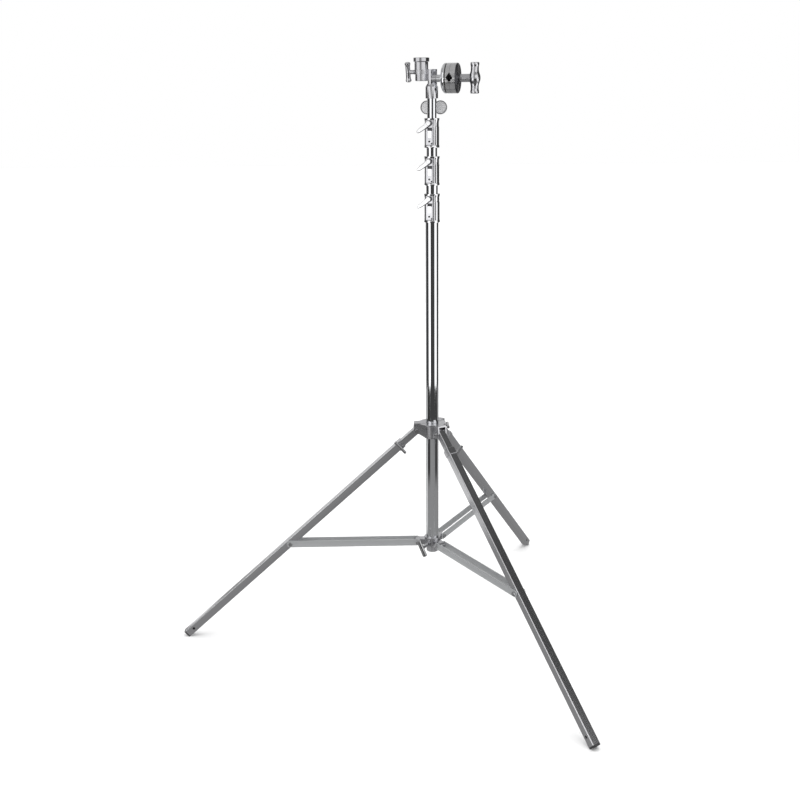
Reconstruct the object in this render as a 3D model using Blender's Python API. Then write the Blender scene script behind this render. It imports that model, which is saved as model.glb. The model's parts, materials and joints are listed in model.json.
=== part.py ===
"""Overhead stand: a folding three-legged base, a column with three risers and a head
that holds a junior receiver on one side and a large grip head on the other.

Metres, +Z up. The floor is at z = 0 and the origin is at the centre of the footprint's
box. The grip head points along +X. Everything is shown with the risers down and the legs
spread.
"""

import math

import bmesh
import bpy
from mathutils import Matrix, Vector

# General fits and the number of sides of round pieces
GAP = 0.0003
SIDES_TUBE = 24
SIDES_MEDIUM = 16
SIDES_SMALL = 12
CORNER_STEPS = 2

# Column tubes: outer diameters and walls
BASE_TUBE_D = 0.050
RISER_DIAMETERS = (0.045, 0.040, 0.035)
THIN_WALL = 0.0018
RECEIVER_BORE_D = 0.0288
HEAD_PIN_D = 0.0282

# Heights of the column, measured from the floor and up from each collar
BASE_COLLAR_Z = 1.712
COLLAR_HEIGHT = 0.106
COLLAR_SOCKET = 0.060
SHOWN_TUBE = 0.032
NECK = 0.0705
RISER_STEP = 0.022
BASE_TUBE_FLOOR = 0.030
GUIDE_LIP = 0.008
GUIDE_SPIGOT = 0.022

# Column end plug
END_PLUG_LENGTH = 0.028
END_PLUG_D = 0.0485
END_PLUG_SPIGOT = 0.018
END_PLUG_GROOVES = 12
END_PLUG_GROOVE_DEPTH = 0.0016

# Collar castings, from the base collar upwards
COLLAR_DIAMETERS = (0.059, 0.0565, 0.055)
COLLAR_LIP = 0.0012
COLLAR_LIP_HEIGHT = 0.009
COLLAR_WAIST = 0.0010
BOSS_AZIMUTH = math.radians(265.0)
BOSS_WIDTH = 0.028
BOSS_PROUD = 0.0035
BOSS_END_MARGIN = 0.009
BOSS_EDGE = 0.003
WINDOW_SIZE = (0.014, 0.026)
WINDOW_DEPTH = 0.0012
WINDOW_Z = 0.050
SCREW_Z = 0.023
SCREW_D = 0.0070
SCREW_HEAD = 0.0018
STUD_DOWN = 0.017
STUD_D = 0.010
PAD_D = 0.014
PAD_LENGTH = 0.006

# Clamp levers
LEVER_LENGTH = 0.057
LEVER_ROOT_R = 0.0105
LEVER_WAIST_R = 0.0080
LEVER_BLADE_R = 0.0082
LEVER_TIP_R = 0.0052
LEVER_SHIFT = 0.0020
LEVER_THICK = 0.0060
LEVER_LIFT = 0.0038
LEVER_DROOP = math.radians(34.0)

# Legs
LEG_NAMES = ("a", "b", "c")
FIRST_LEG_AZIMUTH = math.radians(195.9)
LEG_SPREAD = math.radians(47.8)
LEG_LENGTH = 1.305
LEG_TUBE_W = 0.032
LEG_TUBE_WALL = 0.0017
LEG_CORNER_R = 0.003
STUB_W = 0.028
STUB_WALL = 0.002
STUB_CORNER_R = 0.0025
STUB_OVER_PIVOT = 0.012
STUB_LENGTH = 0.460
LEG_COLLAR_AT = 0.075
LEG_COLLAR_LENGTH = 0.028
LEG_COLLAR_W = 0.0355
LEG_BOSS_D = 0.019
LEG_BOSS_PROUD = 0.006
FOOT_LIP = 0.005
FOOT_SPIGOT = 0.015
FOOT_FACET_DEPTH = 0.003
FOOT_HOLE_D = 0.011
FOOT_HOLE_FROM_END = 0.041

# Hub that slides on the base tube
HUB_PIVOT_R = 0.0636
HUB_BARREL_D = 0.068
HUB_BELOW = 0.030
HUB_ABOVE = 0.0325
HUB_PLATE_D = 0.107
HUB_PLATE_THICK = 0.0040
HUB_STEP = 0.0007
HUB_ARM_WALL = 0.005
HUB_ARM_END_R = 0.0120
HUB_ROOF_END = 0.0715
HUB_ARM_ROOF = 0.0050
HUB_ARM_ROOT = 0.027
HUB_SLOT_ROOT = 0.0375
HUB_BOLT_D = 0.010

# Lower collar and braces
LOW_PIVOT_R = 0.062
BRACE_TILT = math.radians(0.12)
BRACE_PIN_AT = 0.705
BRACE_PIN_DROP = 0.003
BRACE_W = 0.0275
BRACE_THICK = 0.004
BRACE_SIDE_PLAY = 0.0005
BRACE_BOLT_D = 0.008
LOW_BARREL_D = 0.066
LOW_BELOW = 0.0150
LOW_ABOVE = 0.0205
LUG_R = 0.0120
LUG_ROOT = 0.0275

# Bolt heads and nuts
HEX_ACROSS = 0.015
HEX_HEAD = 0.0055
NUT_HEIGHT = 0.0065
THREAD_END = 0.003

# T-bolts of the hub, the lower collar and the legs
HUB_LOCK = {
    "turn": math.radians(180.0), "rise": 0.0186, "boss_d": 0.019, "boss_r": 0.048,
    "shank_d": 0.010, "stem_d": 0.0105, "bar_at": 0.062, "bar_d": 0.012, "length": 0.060,
    "bar_turn": 0.0,
}
LOW_LOCK = {
    "turn": math.radians(60.0), "rise": -0.001, "boss_d": 0.020, "boss_r": 0.046,
    "shank_d": 0.010, "stem_d": 0.013, "bar_at": 0.094, "bar_d": 0.016, "length": 0.070,
    "bar_turn": math.radians(-64.0),
}
LEG_LOCK_SHANK_D = 0.008
LEG_LOCK_STEM_D = 0.010
LEG_LOCK_BAR_OUT = 0.041
LEG_LOCK_BAR_D = 0.012
LEG_LOCK_BAR_LENGTH = 0.063

# Wing screw under the head
WING_AZIMUTH = math.radians(93.0)
WING_DOWN = 0.0325
WING_BOSS_D = 0.018
WING_BOSS_R = 0.027
WING_PLATE_R = 0.040
WING_PLATE_THICK = 0.0055
WING_EAR_R = 0.0252
WING_EAR_OFFSET = 0.0251
WING_SHANK_D = 0.010
WING_STEM_D = 0.015

# Head body: u runs along +X towards the grip head
HEAD_PIN_LENGTH = 0.074
HEAD_BASE_D = 0.047
HEAD_BASE_HEIGHT = 0.040
HEAD_BASE_TAPER = 0.012
SPINE_U = (-0.015, 0.0185)
SPINE_DEPTH = 0.030
SPINE_TOP = 0.1035
SPINE_EDGE = 0.004
RING_D = 0.055
RING_Z = (0.086, 0.102)

# Receiver cup
CUP_U = -0.0390
CUP_LOWER_D = 0.046
CUP_BODY_D = 0.051
CUP_RIM_D = 0.059
CUP_BOTTOM = 0.062
CUP_RIM_HEIGHT = 0.013
CUP_TOP = 0.1445
CUP_EDGE = 0.0015
CUP_BOLT_SHANK_D = 0.010
CUP_BOLT_STEM_D = 0.015
CUP_BOLT_BAR_OUT = 0.0505
CUP_BOLT_BAR_LENGTH = 0.071
CUP_BOLT_BAR_D = 0.015
CUP_BOLT_FLARE_D = 0.020
CUP_BOLT_TURN = math.radians(-15.0)

# Grip head
GRIP_Z = 0.0709
GRIP_D = 0.108
GRIP_STUB_D = 0.0266
GRIP_DOME_U = 0.0362
GRIP_FACE_U = 0.0566
GRIP_RIM = 0.0040
GRIP_TENON_D = 0.018
GRIP_TENON = 0.0145
WASHER_D = 0.101
WASHER_THICK = 0.002
JAW_THICKNESSES = (0.0165, 0.0255)
JAW_EDGE = 0.0015
GROOVE_TILT = math.radians(30.6)
GROOVE_OFFSET = 0.028
GROOVE_ACROSS = 0.030
GROOVE_ALONG_AXIS = 0.026
FACE_BOSS_D = 0.040
FACE_BOSS = 0.0035
SCREW_BORE_D = 0.0133
HANDLE_STUD_D = 0.0127
HANDLE_STEM_D = 0.029
HANDLE_BAR_OUT = 0.0555
HANDLE_LENGTH = 0.110
HANDLE_NECK_D = 0.0245
HANDLE_END_D = 0.0315
HANDLE_BULGE_D = 0.0385

TURN = 2.0 * math.pi
X_AXIS = Matrix.Rotation(math.pi / 2.0, 4, "Y")
Y_AXIS = Matrix.Rotation(-math.pi / 2.0, 4, "X")
UPRIGHT = Matrix.Rotation(math.pi / 2.0, 4, "X")
IDENTITY = Matrix.Identity(4)


def clear_scene():
    for item in list(bpy.data.objects):
        bpy.data.objects.remove(item, do_unlink=True)


def make_material(name, colour, roughness, metallic):
    material = bpy.data.materials.new(name)
    material.use_nodes = True
    shader = material.node_tree.nodes["Principled BSDF"]
    shader.inputs["Base Color"].default_value = (*colour, 1.0)
    shader.inputs["Roughness"].default_value = roughness
    shader.inputs["Metallic"].default_value = metallic
    return material


# Places


def move(x=0.0, y=0.0, z=0.0):
    return Matrix.Translation((x, y, z))


def turn(angle):
    return Matrix.Rotation(angle, 4, "Z")


def facing(azimuth, distance, height):
    """Frame whose Z points outwards at an azimuth, with Y up and X to the right."""
    outward = Vector((math.cos(azimuth), math.sin(azimuth), 0.0))
    right = Vector((-math.sin(azimuth), math.cos(azimuth), 0.0))
    up = Vector((0.0, 0.0, 1.0))
    place = Matrix((right, up, outward)).transposed().to_4x4()
    place.translation = outward * distance + up * height
    return place


def empty(name, parent, place=IDENTITY):
    frame = bpy.data.objects.new(name, None)
    bpy.context.collection.objects.link(frame)
    frame.parent = parent
    frame.matrix_local = place
    return frame


# Shapes, each added to a bmesh


def add_cylinder(bm, radius, low, high, sides=SIDES_SMALL, place=IDENTITY, top_radius=None):
    bmesh.ops.create_cone(
        bm, cap_ends=True, segments=sides, radius1=radius,
        radius2=radius if top_radius is None else top_radius, depth=high - low,
        matrix=place @ move(z=(low + high) / 2.0),
    )
    return bm


def add_block(bm, low, high, place=IDENTITY):
    size = Vector(high) - Vector(low)
    centre = (Vector(high) + Vector(low)) / 2.0
    bmesh.ops.create_cube(
        bm, size=1.0, matrix=place @ Matrix.Translation(centre) @ Matrix.Diagonal((*size, 1.0))
    )
    return bm


def add_prism(bm, outline, low, high, place=IDENTITY):
    """Extrude a flat outline in XY from low to high along Z."""
    base = [bm.verts.new(place @ Vector((x, y, low))) for x, y in outline]
    top = [bm.verts.new(place @ Vector((x, y, high))) for x, y in outline]
    faces = [bm.faces.new(base), bm.faces.new(top)]
    for i in range(len(outline)):
        j = (i + 1) % len(outline)
        faces.append(bm.faces.new((base[i], base[j], top[j], top[i])))
    bmesh.ops.recalc_face_normals(bm, faces=faces)
    return bm


def add_turned(bm, profile, sides=SIDES_TUBE, place=IDENTITY):
    """Turn a profile of (radius, height) points round Z. Ends on the axis close by themselves."""
    part = bmesh.new()
    points = [part.verts.new((radius, 0.0, height)) for radius, height in profile]
    edges = [part.edges.new(pair) for pair in zip(points, points[1:])]
    if profile[0][0] > 0.0:
        edges.append(part.edges.new((points[-1], points[0])))
    bmesh.ops.spin(
        part, geom=points + edges, cent=(0.0, 0.0, 0.0), axis=(0.0, 0.0, 1.0),
        angle=TURN, steps=sides, use_merge=True,
    )
    bmesh.ops.remove_doubles(part, verts=part.verts, dist=1e-6)
    bmesh.ops.recalc_face_normals(part, faces=part.faces)
    part.transform(place)
    mesh = bpy.data.meshes.new("turned")
    part.to_mesh(mesh)
    part.free()
    bm.from_mesh(mesh)
    bpy.data.meshes.remove(mesh)
    return bm


def rounded_square(half, corner):
    """Outline of a square tube, counter-clockwise, with CORNER_STEPS chords at each corner."""
    points = []
    for quarter in range(4):
        middle = quarter * TURN / 4.0
        centre = Vector((half - corner, half - corner))
        centre.rotate(Matrix.Rotation(middle, 2))
        for step in range(CORNER_STEPS + 1):
            angle = middle + step * TURN / 4.0 / CORNER_STEPS
            points.append((centre.x + corner * math.cos(angle), centre.y + corner * math.sin(angle)))
    return points


def add_square_bar(bm, stations, corner, bore=None):
    """Loft square sections (height, half width) along Z; bore is the half width inside."""
    def ring(height, half, radius):
        return [bm.verts.new((x, y, height)) for x, y in rounded_square(half, radius)]

    rings = [ring(height, half, corner) for height, half in stations]
    if bore is not None:
        inner_corner = max(corner - (stations[-1][1] - bore), corner * 0.4)
        rings = [ring(stations[0][0], bore, inner_corner)] + rings
        rings.append(ring(stations[-1][0], bore, inner_corner))
    faces = []
    pairs = list(zip(rings, rings[1:]))
    if bore is None:
        faces += [bm.faces.new(rings[0]), bm.faces.new(rings[-1])]
    else:
        pairs.append((rings[-1], rings[0]))
    for lower, upper in pairs:
        for i in range(len(lower)):
            j = (i + 1) % len(lower)
            faces.append(bm.faces.new((lower[i], lower[j], upper[j], upper[i])))
    bmesh.ops.recalc_face_normals(bm, faces=faces)
    return bm


def add_hexagon(bm, across, low, high, place=IDENTITY):
    return add_cylinder(bm, across / 2.0 / math.cos(math.pi / 6.0), low, high, 6, place)


def arc(centre, radius, start, end, steps):
    return [
        (centre[0] + radius * math.cos(start + (end - start) * i / steps),
         centre[1] + radius * math.sin(start + (end - start) * i / steps))
        for i in range(steps + 1)
    ]


# Objects


def new_object(name, bm, material=None, parent=None, place=IDENTITY, sharp=35.0):
    mesh = bpy.data.meshes.new(name)
    bm.to_mesh(mesh)
    bm.free()
    mesh.shade_smooth()
    mesh.set_sharp_from_angle(angle=math.radians(sharp))
    item = bpy.data.objects.new(name, mesh)
    bpy.context.collection.objects.link(item)
    if material is not None:
        mesh.materials.append(material)
    item.parent = parent
    item.matrix_local = place
    return item


def combine(target, operation, label, bm, place=IDENTITY):
    """Join or cut a target with a hidden shape given in the target's own frame."""
    tool = new_object(f"{target.name}_{label}", bm, parent=target, place=place)
    tool.hide_render = True
    tool.display_type = "WIRE"
    step = target.modifiers.new(label, "BOOLEAN")
    step.operation = operation
    step.solver = "EXACT"
    step.object = tool


def join(target, label, bm, place=IDENTITY):
    combine(target, "UNION", label, bm, place)


def cut(target, label, bm, place=IDENTITY):
    combine(target, "DIFFERENCE", label, bm, place)


def make_tube(name, outer_d, bore_d, low, high, material, parent):
    outer, bore = outer_d / 2.0, bore_d / 2.0
    profile = [(bore, low), (bore, high), (outer, high), (outer, low)]
    return new_object(name, add_turned(bmesh.new(), profile), material, parent)


def make_t_bolt(name, sizes, material, parent, place, bar_turn, flare_d=None):
    """Screw with a cross bar; its axis is Z and its inner end is at sizes['start']."""
    shank, stem, bar = sizes["shank_d"] / 2.0, sizes["stem_d"] / 2.0, sizes["bar_d"] / 2.0
    profile = [
        (0.0, sizes["start"]), (shank, sizes["start"]), (shank, sizes["shoulder"]),
        (stem, sizes["shoulder"]), (stem, sizes["bar_at"]), (0.0, sizes["bar_at"]),
    ]
    bolt = new_object(name, add_turned(bmesh.new(), profile, SIDES_SMALL), material, parent, place)
    half = sizes["length"] / 2.0
    end = bar if flare_d is None else flare_d / 2.0
    edge = end * 0.3
    across = [
        (0.0, -half), (end - edge, -half), (end, -half + edge), (end, -half * 0.82),
        (bar, -half * 0.6), (bar, half * 0.6), (end, half * 0.82), (end, half - edge),
        (end - edge, half), (0.0, half),
    ]
    if flare_d is None:
        across = across[:3] + across[-3:]
    bar_place = move(z=sizes["bar_at"]) @ turn(bar_turn) @ X_AXIS
    join(bolt, "bar", add_turned(bmesh.new(), across, SIDES_SMALL), bar_place)
    return bolt


# Figures that follow from the sizes above


def leg_azimuth(index):
    return FIRST_LEG_AZIMUTH + index * TURN / 3.0


def hub_pivot_height():
    """Height that puts the cut corner of each foot plug on the floor."""
    corner = LEG_LENGTH * math.cos(LEG_SPREAD) + LEG_TUBE_W / 2.0 * math.sin(LEG_SPREAD)
    return corner - FOOT_FACET_DEPTH


def brace_pin():
    """Radius and height of the brace pin on a spread leg."""
    along, across = BRACE_PIN_AT, BRACE_PIN_DROP
    radius = HUB_PIVOT_R + along * math.sin(LEG_SPREAD) - across * math.cos(LEG_SPREAD)
    height = hub_pivot_height() - along * math.cos(LEG_SPREAD) - across * math.sin(LEG_SPREAD)
    return radius, height


def brace_length():
    return (brace_pin()[0] - LOW_PIVOT_R) / math.cos(BRACE_TILT)


def low_pivot_height():
    return brace_pin()[1] - brace_length() * math.sin(BRACE_TILT)


def leg_place(index):
    """Frame of a leg: X along its hinge, the foot towards -Z."""
    azimuth = leg_azimuth(index)
    pivot = move(HUB_PIVOT_R * math.cos(azimuth), HUB_PIVOT_R * math.sin(azimuth))
    return pivot @ turn(azimuth + TURN / 4.0) @ Matrix.Rotation(-LEG_SPREAD, 4, "X")


def brace_place(index):
    """Frame of a brace: X along its hinge, the bars towards +Z."""
    azimuth = leg_azimuth(index)
    pivot = move(LOW_PIVOT_R * math.cos(azimuth), LOW_PIVOT_R * math.sin(azimuth))
    return pivot @ turn(azimuth + TURN / 4.0) @ Matrix.Rotation(TURN / 4.0 - BRACE_TILT, 4, "X")


def footprint_centre():
    """Middle of the box round the three foot plugs, with the column at the origin."""
    points = []
    for index in range(3):
        place = leg_place(index)
        for x, y in rounded_square(LEG_TUBE_W / 2.0, LEG_CORNER_R):
            points.append(place @ Vector((x, y, -LEG_LENGTH)))
    low = [min(point[k] for point in points) for k in range(2)]
    high = [max(point[k] for point in points) for k in range(2)]
    return [(a + b) / 2.0 for a, b in zip(low, high)]


def collar_bottom(level):
    return BASE_COLLAR_Z + level * (COLLAR_HEIGHT + SHOWN_TUBE)


def sliding_bore(level):
    """Bore of the tube that riser number level slides in, 0 being the base tube."""
    outer = (BASE_TUBE_D, *RISER_DIAMETERS)[level]
    return outer - 2.0 * THIN_WALL


# Column


def build_column(column, steel, plastic):
    low = low_pivot_height() - LOW_BELOW - GAP * 2.0
    top = collar_bottom(0) + COLLAR_SOCKET - GAP
    make_tube("base_tube", BASE_TUBE_D, sliding_bore(0), low, top, steel, column)

    lip = END_PLUG_D / 2.0
    spigot = sliding_bore(0) / 2.0 - GAP
    under = low - GAP
    profile = [
        (0.0, under - END_PLUG_LENGTH), (lip - 0.004, under - END_PLUG_LENGTH),
        (lip, under - END_PLUG_LENGTH + 0.004), (lip, under), (spigot, under),
        (spigot, under + END_PLUG_SPIGOT), (0.0, under + END_PLUG_SPIGOT),
    ]
    plug = new_object("base_end_plug", add_turned(bmesh.new(), profile, 24), plastic, column)
    grooves = bmesh.new()
    for index in range(END_PLUG_GROOVES):
        place = turn(index * TURN / END_PLUG_GROOVES + TURN / 48.0)
        add_block(
            grooves, (lip - END_PLUG_GROOVE_DEPTH, -0.0014, under - END_PLUG_LENGTH - 0.001),
            (lip + 0.002, 0.0014, under - 0.006), place,
        )
    cut(plug, "grooves", grooves)
    return low


def build_risers(column, tube_low, steel, plastic):
    """Three nested tubes, each with a guide plug at its lower end."""
    frames = []
    parent = column
    for index, outer in enumerate(RISER_DIAMETERS):
        number = index + 1
        frame = empty(f"riser_{number}_frame", parent)
        low = tube_low + BASE_TUBE_FLOOR + index * RISER_STEP
        if number < len(RISER_DIAMETERS):
            bore = sliding_bore(number)
            top = collar_bottom(number) + COLLAR_SOCKET - GAP
        else:
            bore = RECEIVER_BORE_D
            top = receiver_top()
        tube = make_tube(f"riser_{number}_tube", outer, bore, low, top, steel, frame)
        if number == len(RISER_DIAMETERS):
            add_wing_boss(tube)
        lip = sliding_bore(index) / 2.0 - GAP
        spigot = bore / 2.0 - GAP
        under = low - GAP
        profile = [
            (0.0, under - GUIDE_LIP), (lip, under - GUIDE_LIP), (lip, under), (spigot, under),
            (spigot, under + min(GUIDE_SPIGOT, RISER_STEP - GUIDE_LIP - 3.0 * GAP)),
            (0.0, under + min(GUIDE_SPIGOT, RISER_STEP - GUIDE_LIP - 3.0 * GAP)),
        ]
        guide = add_turned(bmesh.new(), profile)
        new_object(f"riser_{number}_guide", guide, plastic, frame)
        frames.append(frame)
        parent = frame
    return frames


def receiver_top():
    return collar_bottom(2) + COLLAR_HEIGHT + NECK


def add_wing_boss(tube):
    """Boss on the back of riser 3 with the hole for the wing screw."""
    place = facing(WING_AZIMUTH, 0.0, receiver_top() - WING_DOWN)
    middle = (RECEIVER_BORE_D + RISER_DIAMETERS[2]) / 4.0
    boss = add_cylinder(bmesh.new(), WING_BOSS_D / 2.0, middle, WING_BOSS_R, SIDES_MEDIUM)
    join(tube, "boss", boss, place)
    hole = add_cylinder(bmesh.new(), WING_SHANK_D / 2.0 + GAP, 0.0, WING_BOSS_R + 0.01)
    cut(tube, "screw_hole", hole, place)


def build_collar(level, names, parent, casting, steel, rubber):
    """Clamping collar with its boss, pad and lever; it holds one tube and guides the next."""
    held = (BASE_TUBE_D, *RISER_DIAMETERS)[level] / 2.0
    guided = RISER_DIAMETERS[level] / 2.0
    body = COLLAR_DIAMETERS[level] / 2.0
    bottom = collar_bottom(level)
    top = bottom + COLLAR_HEIGHT
    waist = (bottom + 0.70 * COLLAR_HEIGHT, bottom + 0.88 * COLLAR_HEIGHT)
    socket = bottom + COLLAR_SOCKET
    profile = [
        (held + GAP, bottom), (body + COLLAR_LIP, bottom),
        (body + COLLAR_LIP, bottom + COLLAR_LIP_HEIGHT - 0.002),
        (body, bottom + COLLAR_LIP_HEIGHT), (body, waist[0]),
        (body - COLLAR_WAIST, waist[0] + 0.003), (body - COLLAR_WAIST, waist[1]),
        (body + COLLAR_LIP, top - 0.004), (body + COLLAR_LIP, top),
        (guided + GAP, top), (guided + GAP, socket), (held + GAP, socket),
    ]
    collar = new_object(names[0], add_turned(bmesh.new(), profile), casting, parent)

    face = body + BOSS_PROUD
    half, edge = BOSS_WIDTH / 2.0, BOSS_EDGE
    outline = [
        (-half, held + 0.0008), (half, held + 0.0008), (half, face - edge),
        (half - edge, face), (-half + edge, face), (-half, face - edge),
    ]
    ends = (bottom + BOSS_END_MARGIN, top - BOSS_END_MARGIN * 0.7)
    across = turn(BOSS_AZIMUTH - TURN / 4.0)
    join(collar, "boss", add_prism(bmesh.new(), outline, *ends), across)

    place = facing(BOSS_AZIMUTH, 0.0, 0.0)
    screw = add_cylinder(
        bmesh.new(), SCREW_D / 2.0, face - 0.002, face + SCREW_HEAD, SIDES_SMALL,
        move(y=bottom + SCREW_Z),
    )
    join(collar, "screw", screw, place)
    window = add_block(
        bmesh.new(), (-WINDOW_SIZE[0] / 2.0, bottom + WINDOW_Z - WINDOW_SIZE[1] / 2.0,
                      face - WINDOW_DEPTH),
        (WINDOW_SIZE[0] / 2.0, bottom + WINDOW_Z + WINDOW_SIZE[1] / 2.0, face + 0.002),
    )
    cut(collar, "window", window, place)

    stud_z = top - STUD_DOWN
    pad_end = guided + GAP + PAD_LENGTH
    pocket = add_cylinder(
        bmesh.new(), PAD_D / 2.0 + GAP, guided * 0.6, pad_end + GAP, SIDES_SMALL, move(y=stud_z)
    )
    cut(collar, "pad_pocket", pocket, place)
    hole = add_cylinder(
        bmesh.new(), STUD_D / 2.0 + GAP, guided, face + 0.01, SIDES_SMALL, move(y=stud_z)
    )
    cut(collar, "stud_hole", hole, place)

    pad = add_cylinder(bmesh.new(), PAD_D / 2.0, guided + GAP, pad_end)
    new_object(names[2], pad, rubber, parent, facing(BOSS_AZIMUTH, 0.0, stud_z))

    seat = facing(BOSS_AZIMUTH, face, stud_z) @ turn(TURN / 2.0 + LEVER_DROOP)
    build_lever(names[1], parent, seat, face - pad_end - GAP, steel)


def build_lever(name, parent, seat, stud_length, material):
    """Leaf-shaped lever on its stud. The stud's axis is Z and the blade points along +X."""
    stations = ((0.34, LEVER_WAIST_R), (0.58, LEVER_BLADE_R), (0.80, LEVER_BLADE_R * 0.88))
    edge = [(LEVER_LENGTH * part, half) for part, half in stations]
    tip = (LEVER_LENGTH - LEVER_TIP_R, LEVER_SHIFT)
    outline = [
        *arc((0.0, 0.0), LEVER_ROOT_R, TURN * 0.8, TURN * 0.2, 8),
        *((x, LEVER_SHIFT + y) for x, y in edge),
        *arc(tip, LEVER_TIP_R, TURN * 0.2, -TURN * 0.2, 4),
        *((x, LEVER_SHIFT - y) for x, y in reversed(edge)),
    ]
    blade = add_prism(bmesh.new(), outline, LEVER_LIFT, LEVER_LIFT + LEVER_THICK)
    lever = new_object(name, blade, material, parent, seat)
    root = LEVER_ROOT_R - 0.0015
    profile = [
        (0.0, -stud_length), (STUD_D / 2.0, -stud_length), (STUD_D / 2.0, GAP),
        (root, GAP), (root, LEVER_LIFT + LEVER_THICK + 0.0015),
        (root - 0.0015, LEVER_LIFT + LEVER_THICK + 0.003),
        (0.0, LEVER_LIFT + LEVER_THICK + 0.003),
    ]
    join(lever, "stud", add_turned(bmesh.new(), profile, SIDES_MEDIUM))


# Hub


def build_hub(frame, casting, steel):
    """Sliding casting: barrel, roof plate and three forked arms. Its origin is level with the pivots."""
    bore = BASE_TUBE_D / 2.0 + GAP
    barrel = HUB_BARREL_D / 2.0
    plate = HUB_PLATE_D / 2.0
    roof = HUB_ABOVE - HUB_STEP
    profile = [
        (bore, -HUB_BELOW), (barrel - 0.002, -HUB_BELOW), (barrel, -HUB_BELOW + 0.002),
        (barrel, roof - HUB_PLATE_THICK), (plate, roof - HUB_PLATE_THICK),
        (plate, roof - 0.001), (plate - 0.001, roof), (bore, roof),
    ]
    hub = new_object("hub", add_turned(bmesh.new(), profile), casting, frame)

    fork = STUB_W / 2.0 + GAP
    width = fork + HUB_ARM_WALL
    end = HUB_PIVOT_R + HUB_ARM_END_R
    side = [
        (HUB_ARM_ROOT, -HUB_BELOW + 0.001), (HUB_PIVOT_R - 0.010, -HUB_ARM_END_R),
        *arc((HUB_PIVOT_R, 0.0), HUB_ARM_END_R, -TURN * 0.22, 0.0, 4),
        (HUB_ROOF_END, HUB_ABOVE), (HUB_ARM_ROOT, HUB_ABOVE),
    ]
    arms, slots, holes = bmesh.new(), bmesh.new(), bmesh.new()
    for index in range(3):
        across = turn(leg_azimuth(index))
        add_prism(arms, side, -width, width, across @ UPRIGHT)
        add_block(
            slots, (HUB_SLOT_ROOT, -fork, -HUB_BELOW - 0.01),
            (end + 0.01, fork, HUB_ABOVE - HUB_ARM_ROOF), across,
        )
        add_cylinder(
            holes, HUB_BOLT_D / 2.0 + GAP, -width - 0.01, width + 0.01, SIDES_SMALL,
            across @ move(x=HUB_PIVOT_R) @ Y_AXIS,
        )
    join(hub, "arms", arms)
    lock, boss = lock_boss(HUB_LOCK, bore, barrel)
    join(hub, "lock_boss", boss, lock)
    cut(hub, "slots", slots)
    cut(hub, "pivot_holes", holes)
    cut(hub, "lock_hole", lock_hole(HUB_LOCK), lock)
    make_lock("hub_lock_bolt", HUB_LOCK, steel, frame, lock)
    for index, name in enumerate(LEG_NAMES):
        place = turn(leg_azimuth(index)) @ move(x=HUB_PIVOT_R) @ Y_AXIS
        build_through_bolt(f"hub_pivot_bolt_{name}", HUB_BOLT_D, width, steel, frame, place)


def lock_boss(sizes, bore, barrel):
    """Place and shape of the boss that a T-bolt screws through to reach the base tube."""
    place = facing(leg_azimuth(0) + sizes["turn"], 0.0, sizes["rise"])
    radius, middle = sizes["boss_d"] / 2.0, (bore + barrel) / 2.0
    return place, add_cylinder(bmesh.new(), radius, middle, sizes["boss_r"], SIDES_MEDIUM)


def lock_hole(sizes):
    radius = sizes["shank_d"] / 2.0 + GAP
    return add_cylinder(bmesh.new(), radius, BASE_TUBE_D / 4.0, sizes["boss_r"] + 0.01)


def make_lock(name, sizes, material, parent, place):
    """T-bolt that ends a gap short of the base tube."""
    ends = {"start": BASE_TUBE_D / 2.0 + GAP, "shoulder": sizes["boss_r"] + GAP}
    make_t_bolt(name, sizes | ends, material, parent, place, sizes["bar_turn"])


def build_through_bolt(name, diameter, half_grip, material, parent, place):
    """Bolt and nut across a fork whose outer faces are half_grip from the middle."""
    seat = half_grip + GAP
    radius = diameter / 2.0
    shank = add_cylinder(bmesh.new(), radius, -seat - NUT_HEIGHT - THREAD_END, seat + 0.001)
    bolt = new_object(name, shank, material, parent, place)
    ends = add_hexagon(bmesh.new(), HEX_ACROSS, seat, seat + HEX_HEAD)
    add_hexagon(ends, HEX_ACROSS, -seat - NUT_HEIGHT, -seat)
    join(bolt, "head_and_nut", ends)


# Legs


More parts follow.
